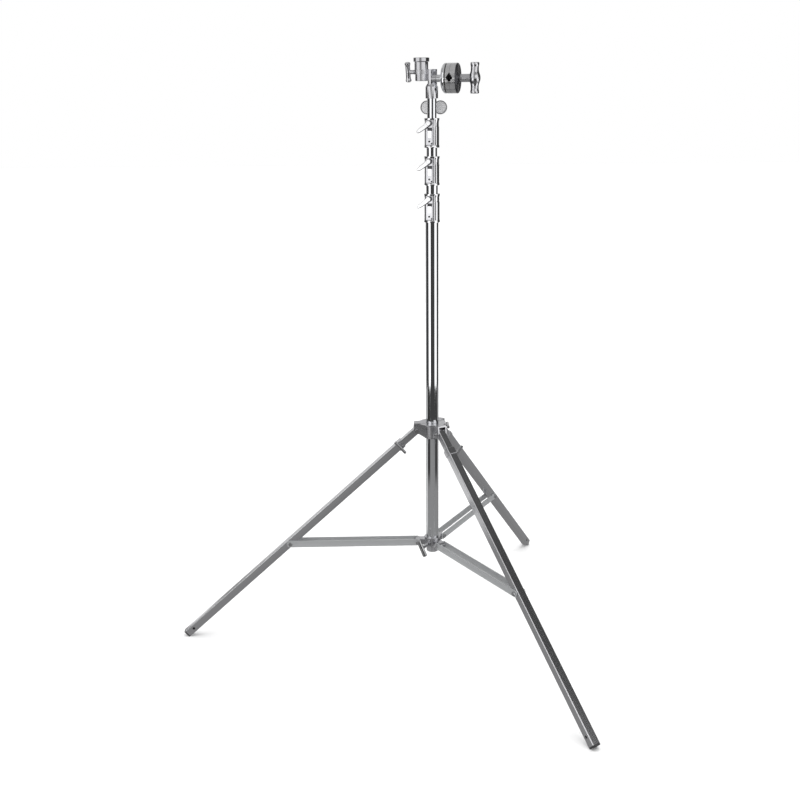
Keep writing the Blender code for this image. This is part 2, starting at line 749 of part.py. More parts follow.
def build_leg(index, hub_frame, bright_steel, satin_steel, rubber):
    name = LEG_NAMES[index]
    frame = empty(f"leg_{name}_frame", hub_frame, leg_place(index))

    stub_half = STUB_W / 2.0
    stations = [(-STUB_LENGTH, stub_half), (STUB_OVER_PIVOT, stub_half)]
    shape = add_square_bar(bmesh.new(), stations, STUB_CORNER_R, stub_half - STUB_WALL)
    stub = new_object(f"leg_stub_{name}", shape, satin_steel, frame)
    hole = add_cylinder(bmesh.new(), HUB_BOLT_D / 2.0 + GAP, -STUB_W, STUB_W, SIDES_SMALL, X_AXIS)
    cut(stub, "pivot_hole", hole)

    tube_frame = empty(f"leg_{name}_tube_frame", frame)
    half = LEG_TUBE_W / 2.0
    bore = half - LEG_TUBE_WALL
    collar = LEG_COLLAR_W / 2.0
    collar_low = -LEG_COLLAR_AT - LEG_COLLAR_LENGTH
    tube_end = -LEG_LENGTH + FOOT_LIP + GAP
    stations = [
        (tube_end, half), (collar_low, half), (collar_low + 0.002, collar),
        (-LEG_COLLAR_AT - 0.001, collar), (-LEG_COLLAR_AT, collar - 0.001),
    ]
    shape = add_square_bar(bmesh.new(), stations, LEG_CORNER_R, bore)
    tube = new_object(f"leg_tube_{name}", shape, bright_steel, tube_frame)
    bolt_z = -LEG_COLLAR_AT - LEG_COLLAR_LENGTH / 2.0
    bolt_place = move(z=bolt_z) @ X_AXIS
    boss = add_cylinder(
        bmesh.new(), LEG_BOSS_D / 2.0, (bore + collar) / 2.0, collar + LEG_BOSS_PROUD, SIDES_SMALL
    )
    join(tube, "boss", boss, bolt_place)
    holes = add_cylinder(
        bmesh.new(), LEG_LOCK_SHANK_D / 2.0 + GAP, bore * 0.5, collar + 0.02, SIDES_SMALL,
        bolt_place,
    )
    add_cylinder(
        holes, FOOT_HOLE_D / 2.0, -LEG_TUBE_W, LEG_TUBE_W, SIDES_SMALL,
        move(z=-LEG_LENGTH + FOOT_HOLE_FROM_END) @ X_AXIS,
    )
    add_cylinder(
        holes, BRACE_BOLT_D / 2.0, -LEG_TUBE_W, LEG_TUBE_W, SIDES_SMALL,
        move(y=BRACE_PIN_DROP, z=-BRACE_PIN_AT) @ X_AXIS,
    )
    cut(tube, "holes", holes)

    sizes = {
        "start": STUB_W / 2.0 + GAP, "shoulder": collar + LEG_BOSS_PROUD + GAP,
        "bar_at": LEG_LOCK_BAR_OUT, "shank_d": LEG_LOCK_SHANK_D, "stem_d": LEG_LOCK_STEM_D,
        "bar_d": LEG_LOCK_BAR_D, "length": LEG_LOCK_BAR_LENGTH,
    }
    make_t_bolt(f"leg_bolt_{name}", sizes, satin_steel, tube_frame, bolt_place, TURN / 4.0)

    spigot = bore - GAP
    stations = [
        (-LEG_LENGTH, half), (-LEG_LENGTH + FOOT_LIP, half), (-LEG_LENGTH + FOOT_LIP, spigot),
        (-LEG_LENGTH + FOOT_LIP + FOOT_SPIGOT, spigot),
    ]
    foot = add_square_bar(bmesh.new(), stations, LEG_CORNER_R)
    to_leg = (move(z=hub_pivot_height()) @ leg_place(index)).inverted()
    sliced = bmesh.ops.bisect_plane(
        foot, geom=[*foot.verts, *foot.edges, *foot.faces], dist=1e-7,
        plane_co=to_leg @ Vector((0.0, 0.0, 0.0)),
        plane_no=to_leg.to_3x3() @ Vector((0.0, 0.0, -1.0)), clear_outer=True,
    )
    rim = [item for item in sliced["geom_cut"] if isinstance(item, bmesh.types.BMEdge)]
    bmesh.ops.contextual_create(foot, geom=rim)
    bmesh.ops.recalc_face_normals(foot, faces=foot.faces)
    new_object(f"foot_plug_{name}", foot, rubber, tube_frame)


# Braces and lower collar


def build_brace(index, column, bright_steel, satin_steel):
    """Two flat bars with the two halves of the bolt that pins them to the leg."""
    name = LEG_NAMES[index]
    frame = empty(
        f"brace_{name}_frame", column, move(z=low_pivot_height()) @ brace_place(index)
    )
    inner = LEG_TUBE_W / 2.0 + BRACE_SIDE_PLAY
    outer = inner + BRACE_THICK
    half = BRACE_W / 2.0
    length = brace_length()
    outline = [
        *arc((0.0, 0.0), half, TURN / 2.0, TURN, 6),
        *((x, y + length) for x, y in arc((0.0, 0.0), half, 0.0, TURN / 2.0, 6)),
    ]
    flat = Matrix(((0, 0, 1, 0), (1, 0, 0, 0), (0, 1, 0, 0), (0, 0, 0, 1)))
    for number, (low, high) in enumerate(((inner, outer), (-outer, -inner)), start=1):
        bar = new_object(
            f"brace_bar_{name}{number}", add_prism(bmesh.new(), outline, low, high, flat),
            bright_steel, frame,
        )
        holes = bmesh.new()
        for height in (0.0, length):
            add_cylinder(
                holes, BRACE_BOLT_D / 2.0 + GAP, low - 0.01, high + 0.01, SIDES_SMALL,
                move(z=height) @ X_AXIS,
            )
        cut(bar, "holes", holes)

    seat = outer + GAP
    end = move(z=length) @ X_AXIS
    head = new_object(
        f"brace_bolt_{name}",
        add_cylinder(bmesh.new(), BRACE_BOLT_D / 2.0, inner, seat + 0.001),
        satin_steel, frame, end,
    )
    join(head, "head", add_hexagon(bmesh.new(), HEX_ACROSS, seat, seat + HEX_HEAD))
    nut = new_object(
        f"brace_nut_{name}",
        add_cylinder(bmesh.new(), BRACE_BOLT_D / 2.0, -seat - NUT_HEIGHT - THREAD_END, -inner),
        satin_steel, frame, end,
    )
    join(nut, "nut", add_hexagon(bmesh.new(), HEX_ACROSS, -seat - NUT_HEIGHT, -seat))


def build_lower_collar(column, casting, steel):
    """Fixed casting at the column's lower end with a lug for each brace."""
    frame = empty("lower_collar_frame", column, move(z=low_pivot_height()))
    bore = BASE_TUBE_D / 2.0 + GAP
    barrel = LOW_BARREL_D / 2.0
    profile = [
        (bore, -LOW_BELOW), (barrel - 0.002, -LOW_BELOW), (barrel, -LOW_BELOW + 0.002),
        (barrel, LOW_ABOVE - 0.002), (barrel - 0.002, LOW_ABOVE), (bore, LOW_ABOVE),
    ]
    collar = new_object("lower_collar", add_turned(bmesh.new(), profile), casting, frame)
    inner = LEG_TUBE_W / 2.0 + BRACE_SIDE_PLAY
    lug_half = inner - GAP
    side = [
        (LUG_ROOT, -LUG_R), *arc((LOW_PIVOT_R, 0.0), LUG_R, -TURN / 4.0, TURN / 4.0, 6),
        (LUG_ROOT, LUG_R),
    ]
    lugs, holes = bmesh.new(), bmesh.new()
    for index in range(3):
        across = turn(leg_azimuth(index))
        add_prism(lugs, side, -lug_half, lug_half, across @ UPRIGHT)
        add_cylinder(
            holes, BRACE_BOLT_D / 2.0 + GAP, -lug_half - 0.01, lug_half + 0.01, SIDES_SMALL,
            across @ move(x=LOW_PIVOT_R) @ Y_AXIS,
        )
    join(collar, "lugs", lugs)
    lock, boss = lock_boss(LOW_LOCK, bore, barrel)
    join(collar, "lock_boss", boss, lock)
    cut(collar, "pivot_holes", holes)
    cut(collar, "lock_hole", lock_hole(LOW_LOCK), lock)
    make_lock("lower_collar_bolt", LOW_LOCK, steel, frame, lock)
    for index, name in enumerate(LEG_NAMES):
        place = turn(leg_azimuth(index)) @ move(x=LOW_PIVOT_R) @ Y_AXIS
        build_through_bolt(
            f"lower_pivot_bolt_{name}", BRACE_BOLT_D, inner + BRACE_THICK, steel, frame, place
        )


# Head


def build_wing_screw(frame, material):
    """Screw with two round ears behind the column."""
    place = facing(WING_AZIMUTH, 0.0, receiver_top() - WING_DOWN)
    start = HEAD_PIN_D / 2.0 + GAP
    outer = WING_PLATE_R + WING_PLATE_THICK
    profile = [
        (0.0, start), (WING_SHANK_D / 2.0, start), (WING_SHANK_D / 2.0, WING_BOSS_R + GAP),
        (WING_STEM_D / 2.0, WING_BOSS_R + GAP), (WING_STEM_D / 2.0, outer + 0.001),
        (0.0, outer + 0.001),
    ]
    screw = new_object(
        "top_wing_screw", add_turned(bmesh.new(), profile, SIDES_SMALL), material, frame, place
    )
    bridge = WING_STEM_D * 0.45
    start_angle = math.asin(bridge / WING_EAR_R)
    right = arc((WING_EAR_OFFSET, 0.0), WING_EAR_R, start_angle - TURN / 2.0,
                TURN / 2.0 - start_angle, 14)
    left = [(-x, -y) for x, y in right]
    plate = add_prism(bmesh.new(), right + left, WING_PLATE_R, outer)
    join(screw, "ears", plate)


def build_head(frame, casting, steel, dark, fibre):
    """Head body, receiver cup and grip head. The frame is at the receiver's rim."""
    pin = HEAD_PIN_D / 2.0
    base = HEAD_BASE_D / 2.0
    profile = [
        (0.0, -HEAD_PIN_LENGTH), (pin - 0.002, -HEAD_PIN_LENGTH),
        (pin, -HEAD_PIN_LENGTH + 0.002), (pin, GAP), (base - 0.001, GAP), (base, GAP + 0.001),
        (base, HEAD_BASE_HEIGHT), (base - HEAD_BASE_TAPER / 2.0,
                                   HEAD_BASE_HEIGHT + HEAD_BASE_TAPER),
        (0.0, HEAD_BASE_HEIGHT + HEAD_BASE_TAPER),
    ]
    body = new_object("head_body", add_turned(bmesh.new(), profile), casting, frame)
    low, high = SPINE_U
    deep, edge = SPINE_DEPTH / 2.0, SPINE_EDGE
    outline = [
        (low, -deep + edge), (low + edge, -deep), (high - edge, -deep), (high, -deep + edge),
        (high, deep - edge), (high - edge, deep), (low + edge, deep), (low, deep - edge),
    ]
    join(body, "spine", add_prism(bmesh.new(), outline, HEAD_BASE_HEIGHT * 0.5, SPINE_TOP))
    ring = add_cylinder(bmesh.new(), RING_D / 2.0, *RING_Z, SIDES_TUBE, move(x=CUP_U))
    join(body, "ring", ring)
    lower = CUP_LOWER_D / 2.0 + GAP
    seat = [
        (0.0, CUP_BOTTOM - 0.001), (lower, CUP_BOTTOM - 0.001), (lower, RING_Z[1]),
        (CUP_BODY_D / 2.0 + GAP, RING_Z[1]), (CUP_BODY_D / 2.0 + GAP, SPINE_TOP + 0.01),
        (0.0, SPINE_TOP + 0.01),
    ]
    cut(body, "cup_seat", add_turned(bmesh.new(), seat), move(x=CUP_U))
    level = (RING_Z[0] + RING_Z[1]) / 2.0
    towards_bolt = move(x=CUP_U, z=level) @ Matrix.Rotation(-TURN / 4.0, 4, "Y")
    bolt_hole = CUP_BOLT_SHANK_D / 2.0 + GAP
    cut(body, "bolt_hole", add_cylinder(bmesh.new(), bolt_hole, 0.0, RING_D), towards_bolt)
    tenon = add_cylinder(
        bmesh.new(), GRIP_TENON_D / 2.0 + GAP, high - GRIP_TENON - GAP, high + 0.01,
        SIDES_MEDIUM, move(z=GRIP_Z) @ X_AXIS,
    )
    cut(body, "tenon_hole", tenon)

    build_cup(frame, steel, towards_bolt, bolt_hole)
    build_grip(frame, steel, dark, fibre)


def build_cup(frame, steel, towards_bolt, bolt_hole):
    bore = RECEIVER_BORE_D / 2.0
    lower, body, rim = CUP_LOWER_D / 2.0, CUP_BODY_D / 2.0, CUP_RIM_D / 2.0
    shoulder = RING_Z[1] + GAP
    under_rim = CUP_TOP - CUP_RIM_HEIGHT
    profile = [
        (bore, CUP_BOTTOM), (lower - CUP_EDGE, CUP_BOTTOM), (lower, CUP_BOTTOM + CUP_EDGE),
        (lower, shoulder), (body, shoulder), (body, under_rim - 0.003), (rim, under_rim),
        (rim, CUP_TOP - CUP_EDGE), (rim - CUP_EDGE, CUP_TOP), (bore + CUP_EDGE, CUP_TOP),
        (bore, CUP_TOP - CUP_EDGE),
    ]
    cup = new_object(
        "receiver_cup", add_turned(bmesh.new(), profile), steel, frame, move(x=CUP_U)
    )
    cut(cup, "bolt_hole", add_cylinder(bmesh.new(), bolt_hole, bore * 0.5, CUP_RIM_D),
        move(x=-CUP_U) @ towards_bolt)
    sizes = {
        "start": bore + GAP, "shoulder": RING_D / 2.0 + GAP, "bar_at": CUP_BOLT_BAR_OUT,
        "shank_d": CUP_BOLT_SHANK_D, "stem_d": CUP_BOLT_STEM_D, "bar_d": CUP_BOLT_BAR_D,
        "length": CUP_BOLT_BAR_LENGTH,
    }
    make_t_bolt(
        "receiver_bolt", sizes, steel, frame, towards_bolt, CUP_BOLT_TURN, CUP_BOLT_FLARE_D
    )


def build_grip(frame, steel, dark, fibre):
    """Grip head on an axis that points along +X, from its tenon to the T-handle."""
    axis = empty("grip_frame", frame, move(z=GRIP_Z) @ X_AXIS)
    bore = SCREW_BORE_D / 2.0
    outer = GRIP_D / 2.0
    stub, tenon = GRIP_STUB_D / 2.0, GRIP_TENON_D / 2.0
    shoulder = SPINE_U[1] + GAP
    dome_depth = GRIP_FACE_U - GRIP_RIM - GRIP_DOME_U
    dome = [
        (stub + (outer - stub) * math.sin(angle), GRIP_DOME_U + dome_depth * (1 - math.cos(angle)))
        for angle in (TURN / 4.0 * step / 4.0 for step in range(5))
    ]
    profile = [
        (bore, SPINE_U[1] - GRIP_TENON), (tenon, SPINE_U[1] - GRIP_TENON), (tenon, shoulder),
        (stub, shoulder), *dome, (outer, GRIP_FACE_U), (bore, GRIP_FACE_U),
    ]
    new_object("grip_base", add_turned(bmesh.new(), profile), steel, axis)

    low = GRIP_FACE_U + GAP
    profile = [
        (bore, low), (WASHER_D / 2.0, low), (WASHER_D / 2.0, low + WASHER_THICK),
        (bore, low + WASHER_THICK),
    ]
    new_object("grip_washer", add_turned(bmesh.new(), profile), fibre, axis)

    low += WASHER_THICK + GAP
    middle = low + JAW_THICKNESSES[0] + GAP / 2.0
    edge = JAW_EDGE
    profile = [
        (bore, low), (outer - edge, low), (outer, low + edge), (outer, middle - GAP / 2.0),
        (bore, middle - GAP / 2.0),
    ]
    inner_jaw = new_object("grip_jaw_inner", add_turned(bmesh.new(), profile), steel, axis)
    face = middle + GAP / 2.0 + JAW_THICKNESSES[1]
    boss = FACE_BOSS_D / 2.0
    profile = [
        (bore, middle + GAP / 2.0), (outer, middle + GAP / 2.0), (outer, face - edge),
        (outer - edge, face), (boss, face), (boss - 0.001, face + FACE_BOSS),
        (bore, face + FACE_BOSS),
    ]
    outer_jaw = new_object("grip_jaw_outer", add_turned(bmesh.new(), profile), dark, axis)
    across, along_axis = GROOVE_ACROSS / 2.0, GROOVE_ALONG_AXIS / 2.0
    diamond = [(0.0, -along_axis), (across, 0.0), (0.0, along_axis), (-across, 0.0)]
    chord = turn(GROOVE_TILT) @ move(x=-GROOVE_OFFSET, z=middle) @ UPRIGHT
    for jaw in (inner_jaw, outer_jaw):
        groove = add_prism(bmesh.new(), diamond, -outer - 0.01, outer + 0.01, chord)
        cut(jaw, "groove", groove)

    build_grip_handle(axis, face + FACE_BOSS, steel)


def build_grip_handle(axis, face, steel):
    """T-handle whose stud runs through both jaws into the grip base."""
    stud = HANDLE_STUD_D / 2.0
    stem = HANDLE_STEM_D / 2.0
    bar_at = face + HANDLE_BAR_OUT
    stud_end = SPINE_U[1] - GRIP_TENON + 0.004
    profile = [
        (0.0, stud_end), (stud, stud_end), (stud, face + GAP), (stem, face + GAP),
        (stem, bar_at), (0.0, bar_at),
    ]
    handle = new_object(
        "grip_handle", add_turned(bmesh.new(), profile, SIDES_MEDIUM), steel, axis
    )
    half = HANDLE_LENGTH / 2.0
    neck, end, bulge = HANDLE_NECK_D / 2.0, HANDLE_END_D / 2.0, HANDLE_BULGE_D / 2.0
    side = [
        (end - 0.003, half), (end, half - 0.003), (end, half - 0.009), (neck, half - 0.022),
        (neck, half * 0.45), (bulge, half * 0.12),
    ]
    across = [(0.0, half), *side, *((r, -z) for r, z in reversed(side)), (0.0, -half)]
    across.reverse()
    place = move(z=bar_at) @ X_AXIS
    join(handle, "bar", add_turned(bmesh.new(), across, SIDES_MEDIUM), place)


def main():
    clear_scene()
    chrome = make_material("chrome_tube", (0.72, 0.73, 0.74), 0.12, 1.0)
    leg_steel = make_material("leg_steel", (0.47, 0.47, 0.49), 0.35, 1.0)
    bar_steel = make_material("bar_steel", (0.62, 0.63, 0.64), 0.38, 1.0)
    cast = make_material("satin_casting", (0.52, 0.52, 0.53), 0.42, 1.0)
    bright = make_material("bright_casting", (0.86, 0.87, 0.88), 0.28, 1.0)
    screws = make_material("plated_screws", (0.56, 0.56, 0.57), 0.30, 1.0)
    dark = make_material("dark_jaw", (0.20, 0.20, 0.21), 0.45, 1.0)
    fibre = make_material("fibre_washer", (0.05, 0.045, 0.04), 0.80, 0.0)
    rubber = make_material("black_rubber", (0.02, 0.02, 0.022), 0.70, 0.0)
    plastic = make_material("grey_plastic", (0.22, 0.22, 0.23), 0.55, 0.0)

    centre = footprint_centre()
    column = empty("column_frame", None, move(-centre[0], -centre[1]))
    tube_low = build_column(column, chrome, plastic)
    risers = build_risers(column, tube_low, chrome, plastic)
    build_collar(0, ("base_collar", "base_lever", "base_pad"), column, cast, bright, rubber)
    for level in (1, 2):
        names = tuple(f"riser_{level}_{label}" for label in ("collar", "lever", "pad"))
        build_collar(level, names, risers[level - 1], cast, bright, rubber)
    build_wing_screw(risers[2], screws)

    hub_frame = empty("hub_frame", column, move(z=hub_pivot_height()))
    build_hub(hub_frame, cast, screws)
    for index in range(len(LEG_NAMES)):
        build_leg(index, hub_frame, leg_steel, leg_steel, rubber)
        build_brace(index, column, bar_steel, screws)
    build_lower_collar(column, cast, screws)

    head_frame = empty("head_frame", risers[2], move(z=receiver_top()))
    build_head(head_frame, cast, chrome, dark, fibre)


main()
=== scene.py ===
"""Looks of the overhead stand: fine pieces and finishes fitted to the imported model.

Metres, +Z up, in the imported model's own frame. Places and directions come from the model's
joints and boxes, and each sub-assembly below keeps its own sizes. Every piece is modelled
in its own frame, laid in place and then rides on its body.
"""

import json
import logging
import math
from abc import ABC, abstractmethod
from collections.abc import Callable
from dataclasses import dataclass
from enum import Enum

import bpy
from mathutils import Matrix, Vector


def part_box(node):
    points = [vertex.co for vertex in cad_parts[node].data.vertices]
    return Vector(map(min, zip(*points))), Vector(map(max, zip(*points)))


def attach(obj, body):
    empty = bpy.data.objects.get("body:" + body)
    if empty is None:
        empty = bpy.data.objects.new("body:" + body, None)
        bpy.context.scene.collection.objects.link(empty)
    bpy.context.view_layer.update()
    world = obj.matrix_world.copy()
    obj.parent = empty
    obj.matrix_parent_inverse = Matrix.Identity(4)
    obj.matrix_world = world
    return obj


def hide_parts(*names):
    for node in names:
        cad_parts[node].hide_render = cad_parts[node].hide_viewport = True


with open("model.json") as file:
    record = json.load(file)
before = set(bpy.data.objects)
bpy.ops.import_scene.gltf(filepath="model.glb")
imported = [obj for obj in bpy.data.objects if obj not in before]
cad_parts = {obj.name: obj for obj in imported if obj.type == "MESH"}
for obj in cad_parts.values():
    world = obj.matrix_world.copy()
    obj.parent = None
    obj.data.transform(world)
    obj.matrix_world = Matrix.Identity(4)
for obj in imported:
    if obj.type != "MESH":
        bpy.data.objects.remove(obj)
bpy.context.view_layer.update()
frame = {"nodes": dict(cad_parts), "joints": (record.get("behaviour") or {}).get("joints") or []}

LOG = logging.getLogger("overhead_stand")
TURN = 2.0 * math.pi
UP = Vector((0.0, 0.0, 1.0))
GAP = 0.0003  # Clearance between pieces that touch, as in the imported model
OVERCUT = 0.01  # How far a cutter runs past what it cuts
NEAR = 1e-4  # How close to a plane a face still counts as on it
LEG_NAMES = ("a", "b", "c")
LAY_ALONG_X = Matrix.Rotation(TURN / 4.0, 4, "Y")
LAY_ALONG_Y = Matrix.Rotation(-TURN / 4.0, 4, "X")
STAND_UP = Matrix.Rotation(TURN / 4.0, 4, "X")


# Places


def move(x: float = 0.0, y: float = 0.0, z: float = 0.0) -> Matrix:
    """Return a shift as a matrix."""
    return Matrix.Translation((x, y, z))


def turn(angle: float) -> Matrix:
    """Return a turn about Z, in radians."""
    return Matrix.Rotation(angle, 4, "Z")


def frame_at(origin: Vector, x_axis: Vector, z_axis: Vector) -> Matrix:
    """Frame at a point from two directions.

    Args:
        origin: Where the frame stands.
        x_axis: Roughly the frame's X; the part of it along Z is taken off.
        z_axis: The frame's Z.

    Returns:
        The frame as a matrix.
    """
    z = z_axis.normalized()
    x = (x_axis - z * x_axis.dot(z)).normalized()
    place = Matrix((x, z.cross(x), z)).transposed().to_4x4()
    place.translation = origin
    return place


@dataclass(frozen=True)
class JointSeat:
    """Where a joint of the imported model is, and which way it points."""

    place: Vector
    axis: Vector

    @staticmethod
    def named(name: str) -> "JointSeat":
        """Look a joint up.

        Args:
            name: The joint's name in the record.

        Returns:
            Its seat; a slide has no place of its own and stands at the origin.
        """
        found = next(joint for joint in frame["joints"] if joint["name"] == name)
        return JointSeat(Vector(found.get("pos_m", (0.0, 0.0, 0.0))), Vector(found["axis"]))

    def facing(self, distance: float = 0.0) -> Matrix:
        """Frame with Z out along the axis, Y up and X to the right.

        Args:
            distance: How far out along the axis the frame stands.

        Returns:
            The frame as a matrix.
        """
        return frame_at(self.place + self.axis * distance, UP.cross(self.axis), self.axis)


def column_place(height: float = 0.0) -> Matrix:
    """Return the frame on the column's axis at a height."""
    centre = JointSeat.named("head_swivel").place
    return move(centre.x, centre.y, height)


# Finishes


@dataclass(frozen=True)
class MetalFinish:
    """A metal surface: plate or casting, with its grain, dull spots and fine scratches."""

    slot: str
    colour: tuple[float, float, float]
    dull: tuple[float, float, float]
    roughness: tuple[float, float]
    grain: float
    stretch: float
    bump: float
    metallic: float = 1.0
    mottle: float = 9.0

    def make(self, name: str, along: Matrix) -> bpy.types.Material:
        """Build the material.

        Args:
            name: The material's name.
            along: Frame whose Z is the direction that the grain runs in.

        Returns:
            The new material.
        """
        sheet = NodeSheet(name, metallic=self.metallic)
        grain_space = sheet.space(along, self.stretch)
        fine = sheet.noise(grain_space, self.grain, 8.0)
        broad = sheet.noise(grain_space, self.mottle, 3.0)
        sheet.colour(broad, self.colour, self.dull)
        sheet.roughness(fine, self.roughness)
        sheet.bump(fine, self.bump)
        return sheet.material


@dataclass(frozen=True)
class TurnedFinish:
    """Metal turned on a lathe, with rings round its own axis and light wear."""

    slot: str
    colour: tuple[float, float, float]
    dull: tuple[float, float, float]
    roughness: tuple[float, float]
    rings: float
    bump: float

    def make(self, name: str, along: Matrix) -> bpy.types.Material:
        """Build the material.

        Args:
            name: The material's name.
            along: Frame whose Z is the axis that the piece was turned about.

        Returns:
            The new material.
        """
        sheet = NodeSheet(name, metallic=1.0)
        space = sheet.space(along, 1.0)
        rings = sheet.rings(space, self.rings)
        wear = sheet.noise(space, 60.0, 5.0)
        sheet.colour(wear, self.colour, self.dull)
        sheet.roughness(rings, self.roughness)
        sheet.bump(rings, self.bump)
        return sheet.material


@dataclass(frozen=True)
class MouldedFinish:
    """Rubber or plastic as it leaves the mould, with a fine pebble and scuffs."""

    slot: str
    colour: tuple[float, float, float]
    dull: tuple[float, float, float]
    roughness: tuple[float, float]
    pebble: float
    bump: float

    def make(self, name: str, along: Matrix) -> bpy.types.Material:
        """Build the material.

        Args:
            name: The material's name.
            along: Frame that the pebble is laid in.

        Returns:
            The new material.
        """
        sheet = NodeSheet(name, metallic=0.0)
        space = sheet.space(along, 1.0)
        pebble = sheet.noise(space, self.pebble, 4.0)
        scuffs = sheet.noise(space, self.pebble * 0.06, 6.0)
        sheet.colour(scuffs, self.colour, self.dull)
        sheet.roughness(pebble, self.roughness)
        sheet.bump(pebble, self.bump)
        return sheet.material


class NodeSheet:
    """The nodes of one material, built step by step round its Principled shader."""

    def __init__(self, name: str, metallic: float) -> None:
        """Start a material.

        Args:
            name: The material's name.
            metallic: The shader's metallic value.
        """
        self.material = bpy.data.materials.new(name)
        self.material.use_nodes = True
        self.nodes = self.material.node_tree.nodes
        self.links = self.material.node_tree.links
        self.shader = self.nodes["Principled BSDF"]
        self.shader.inputs["Metallic"].default_value = metallic

    def space(self, along: Matrix, stretch: float) -> bpy.types.NodeSocket:
        """Object coordinates turned to a frame and drawn out along its Z.

        Args:
            along: The frame.
            stretch: How many times longer the pattern is along Z.

        Returns:
            The socket that carries the coordinates.
        """
        source = self.nodes.new("ShaderNodeTexCoord")
        mapping = self.nodes.new("ShaderNodeMapping")
        mapping.vector_type = "TEXTURE"
        mapping.inputs["Location"].default_value = along.translation
        mapping.inputs["Rotation"].default_value = along.to_euler()
        mapping.inputs["Scale"].default_value = (1.0, 1.0, stretch)
        self.links.new(source.outputs["Object"], mapping.inputs["Vector"])
        return mapping.outputs["Vector"]

    def noise(self, space: bpy.types.NodeSocket, scale: float, detail: float) -> bpy.types.NodeSocket:
        """Add a noise.

        Args:
            space: The coordinates it is laid in.
            scale: Its scale, per metre.
            detail: Its octaves.

        Returns:
            The socket of its value.
        """
        noise = self.nodes.new("ShaderNodeTexNoise")
        noise.inputs["Scale"].default_value = scale
        noise.inputs["Detail"].default_value = detail
        self.links.new(space, noise.inputs["Vector"])
        return noise.outputs["Fac"]

    def rings(self, space: bpy.types.NodeSocket, scale: float) -> bpy.types.NodeSocket:
        """Add rings round Z.

        Args:
            space: The coordinates they are laid in.
            scale: Their scale, per metre.

        Returns:
            The socket of their value.
        """
        wave = self.nodes.new("ShaderNodeTexWave")
        wave.wave_type = "RINGS"
        wave.rings_direction = "Z"
        wave.inputs["Scale"].default_value = scale
        wave.inputs["Distortion"].default_value = 0.4
        wave.inputs["Detail"].default_value = 2.0
        self.links.new(space, wave.inputs["Vector"])
        return wave.outputs["Fac"]

    def colour(self, value: bpy.types.NodeSocket, clean: tuple[float, float, float],
               dull: tuple[float, float, float]) -> None:
        """Vary the base colour between two tones.

        Args:
            value: What the tones follow.
            clean: The tone of most of the surface.
            dull: The tone of its duller spots.
        """
        ramp = self.nodes.new("ShaderNodeValToRGB")
        ramp.color_ramp.elements[0].position = 0.38
        ramp.color_ramp.elements[0].color = (*dull, 1.0)
        ramp.color_ramp.elements[1].position = 0.62
        ramp.color_ramp.elements[1].color = (*clean, 1.0)
        self.links.new(value, ramp.inputs["Fac"])
        self.links.new(ramp.outputs["Color"], self.shader.inputs["Base Color"])

    def roughness(self, value: bpy.types.NodeSocket, spread: tuple[float, float]) -> None:
        """Vary the roughness.

        Args:
            value: What it follows.
            spread: Its lowest and highest value.
        """
        span = self.nodes.new("ShaderNodeMapRange")
        span.inputs["To Min"].default_value = spread[0]
        span.inputs["To Max"].default_value = spread[1]
        self.links.new(value, span.inputs["Value"])
        self.links.new(span.outputs["Result"], self.shader.inputs["Roughness"])

    def bump(self, value: bpy.types.NodeSocket, height: float) -> None:
        """Raise the surface a little.

        Args:
            value: What the height follows.
            height: The full height, in metres.
        """
        bump = self.nodes.new("ShaderNodeBump")
        bump.inputs["Strength"].default_value = 1.0
        bump.inputs["Distance"].default_value = height
        self.links.new(value, bump.inputs["Height"])
        self.links.new(bump.outputs["Normal"], self.shader.inputs["Normal"])


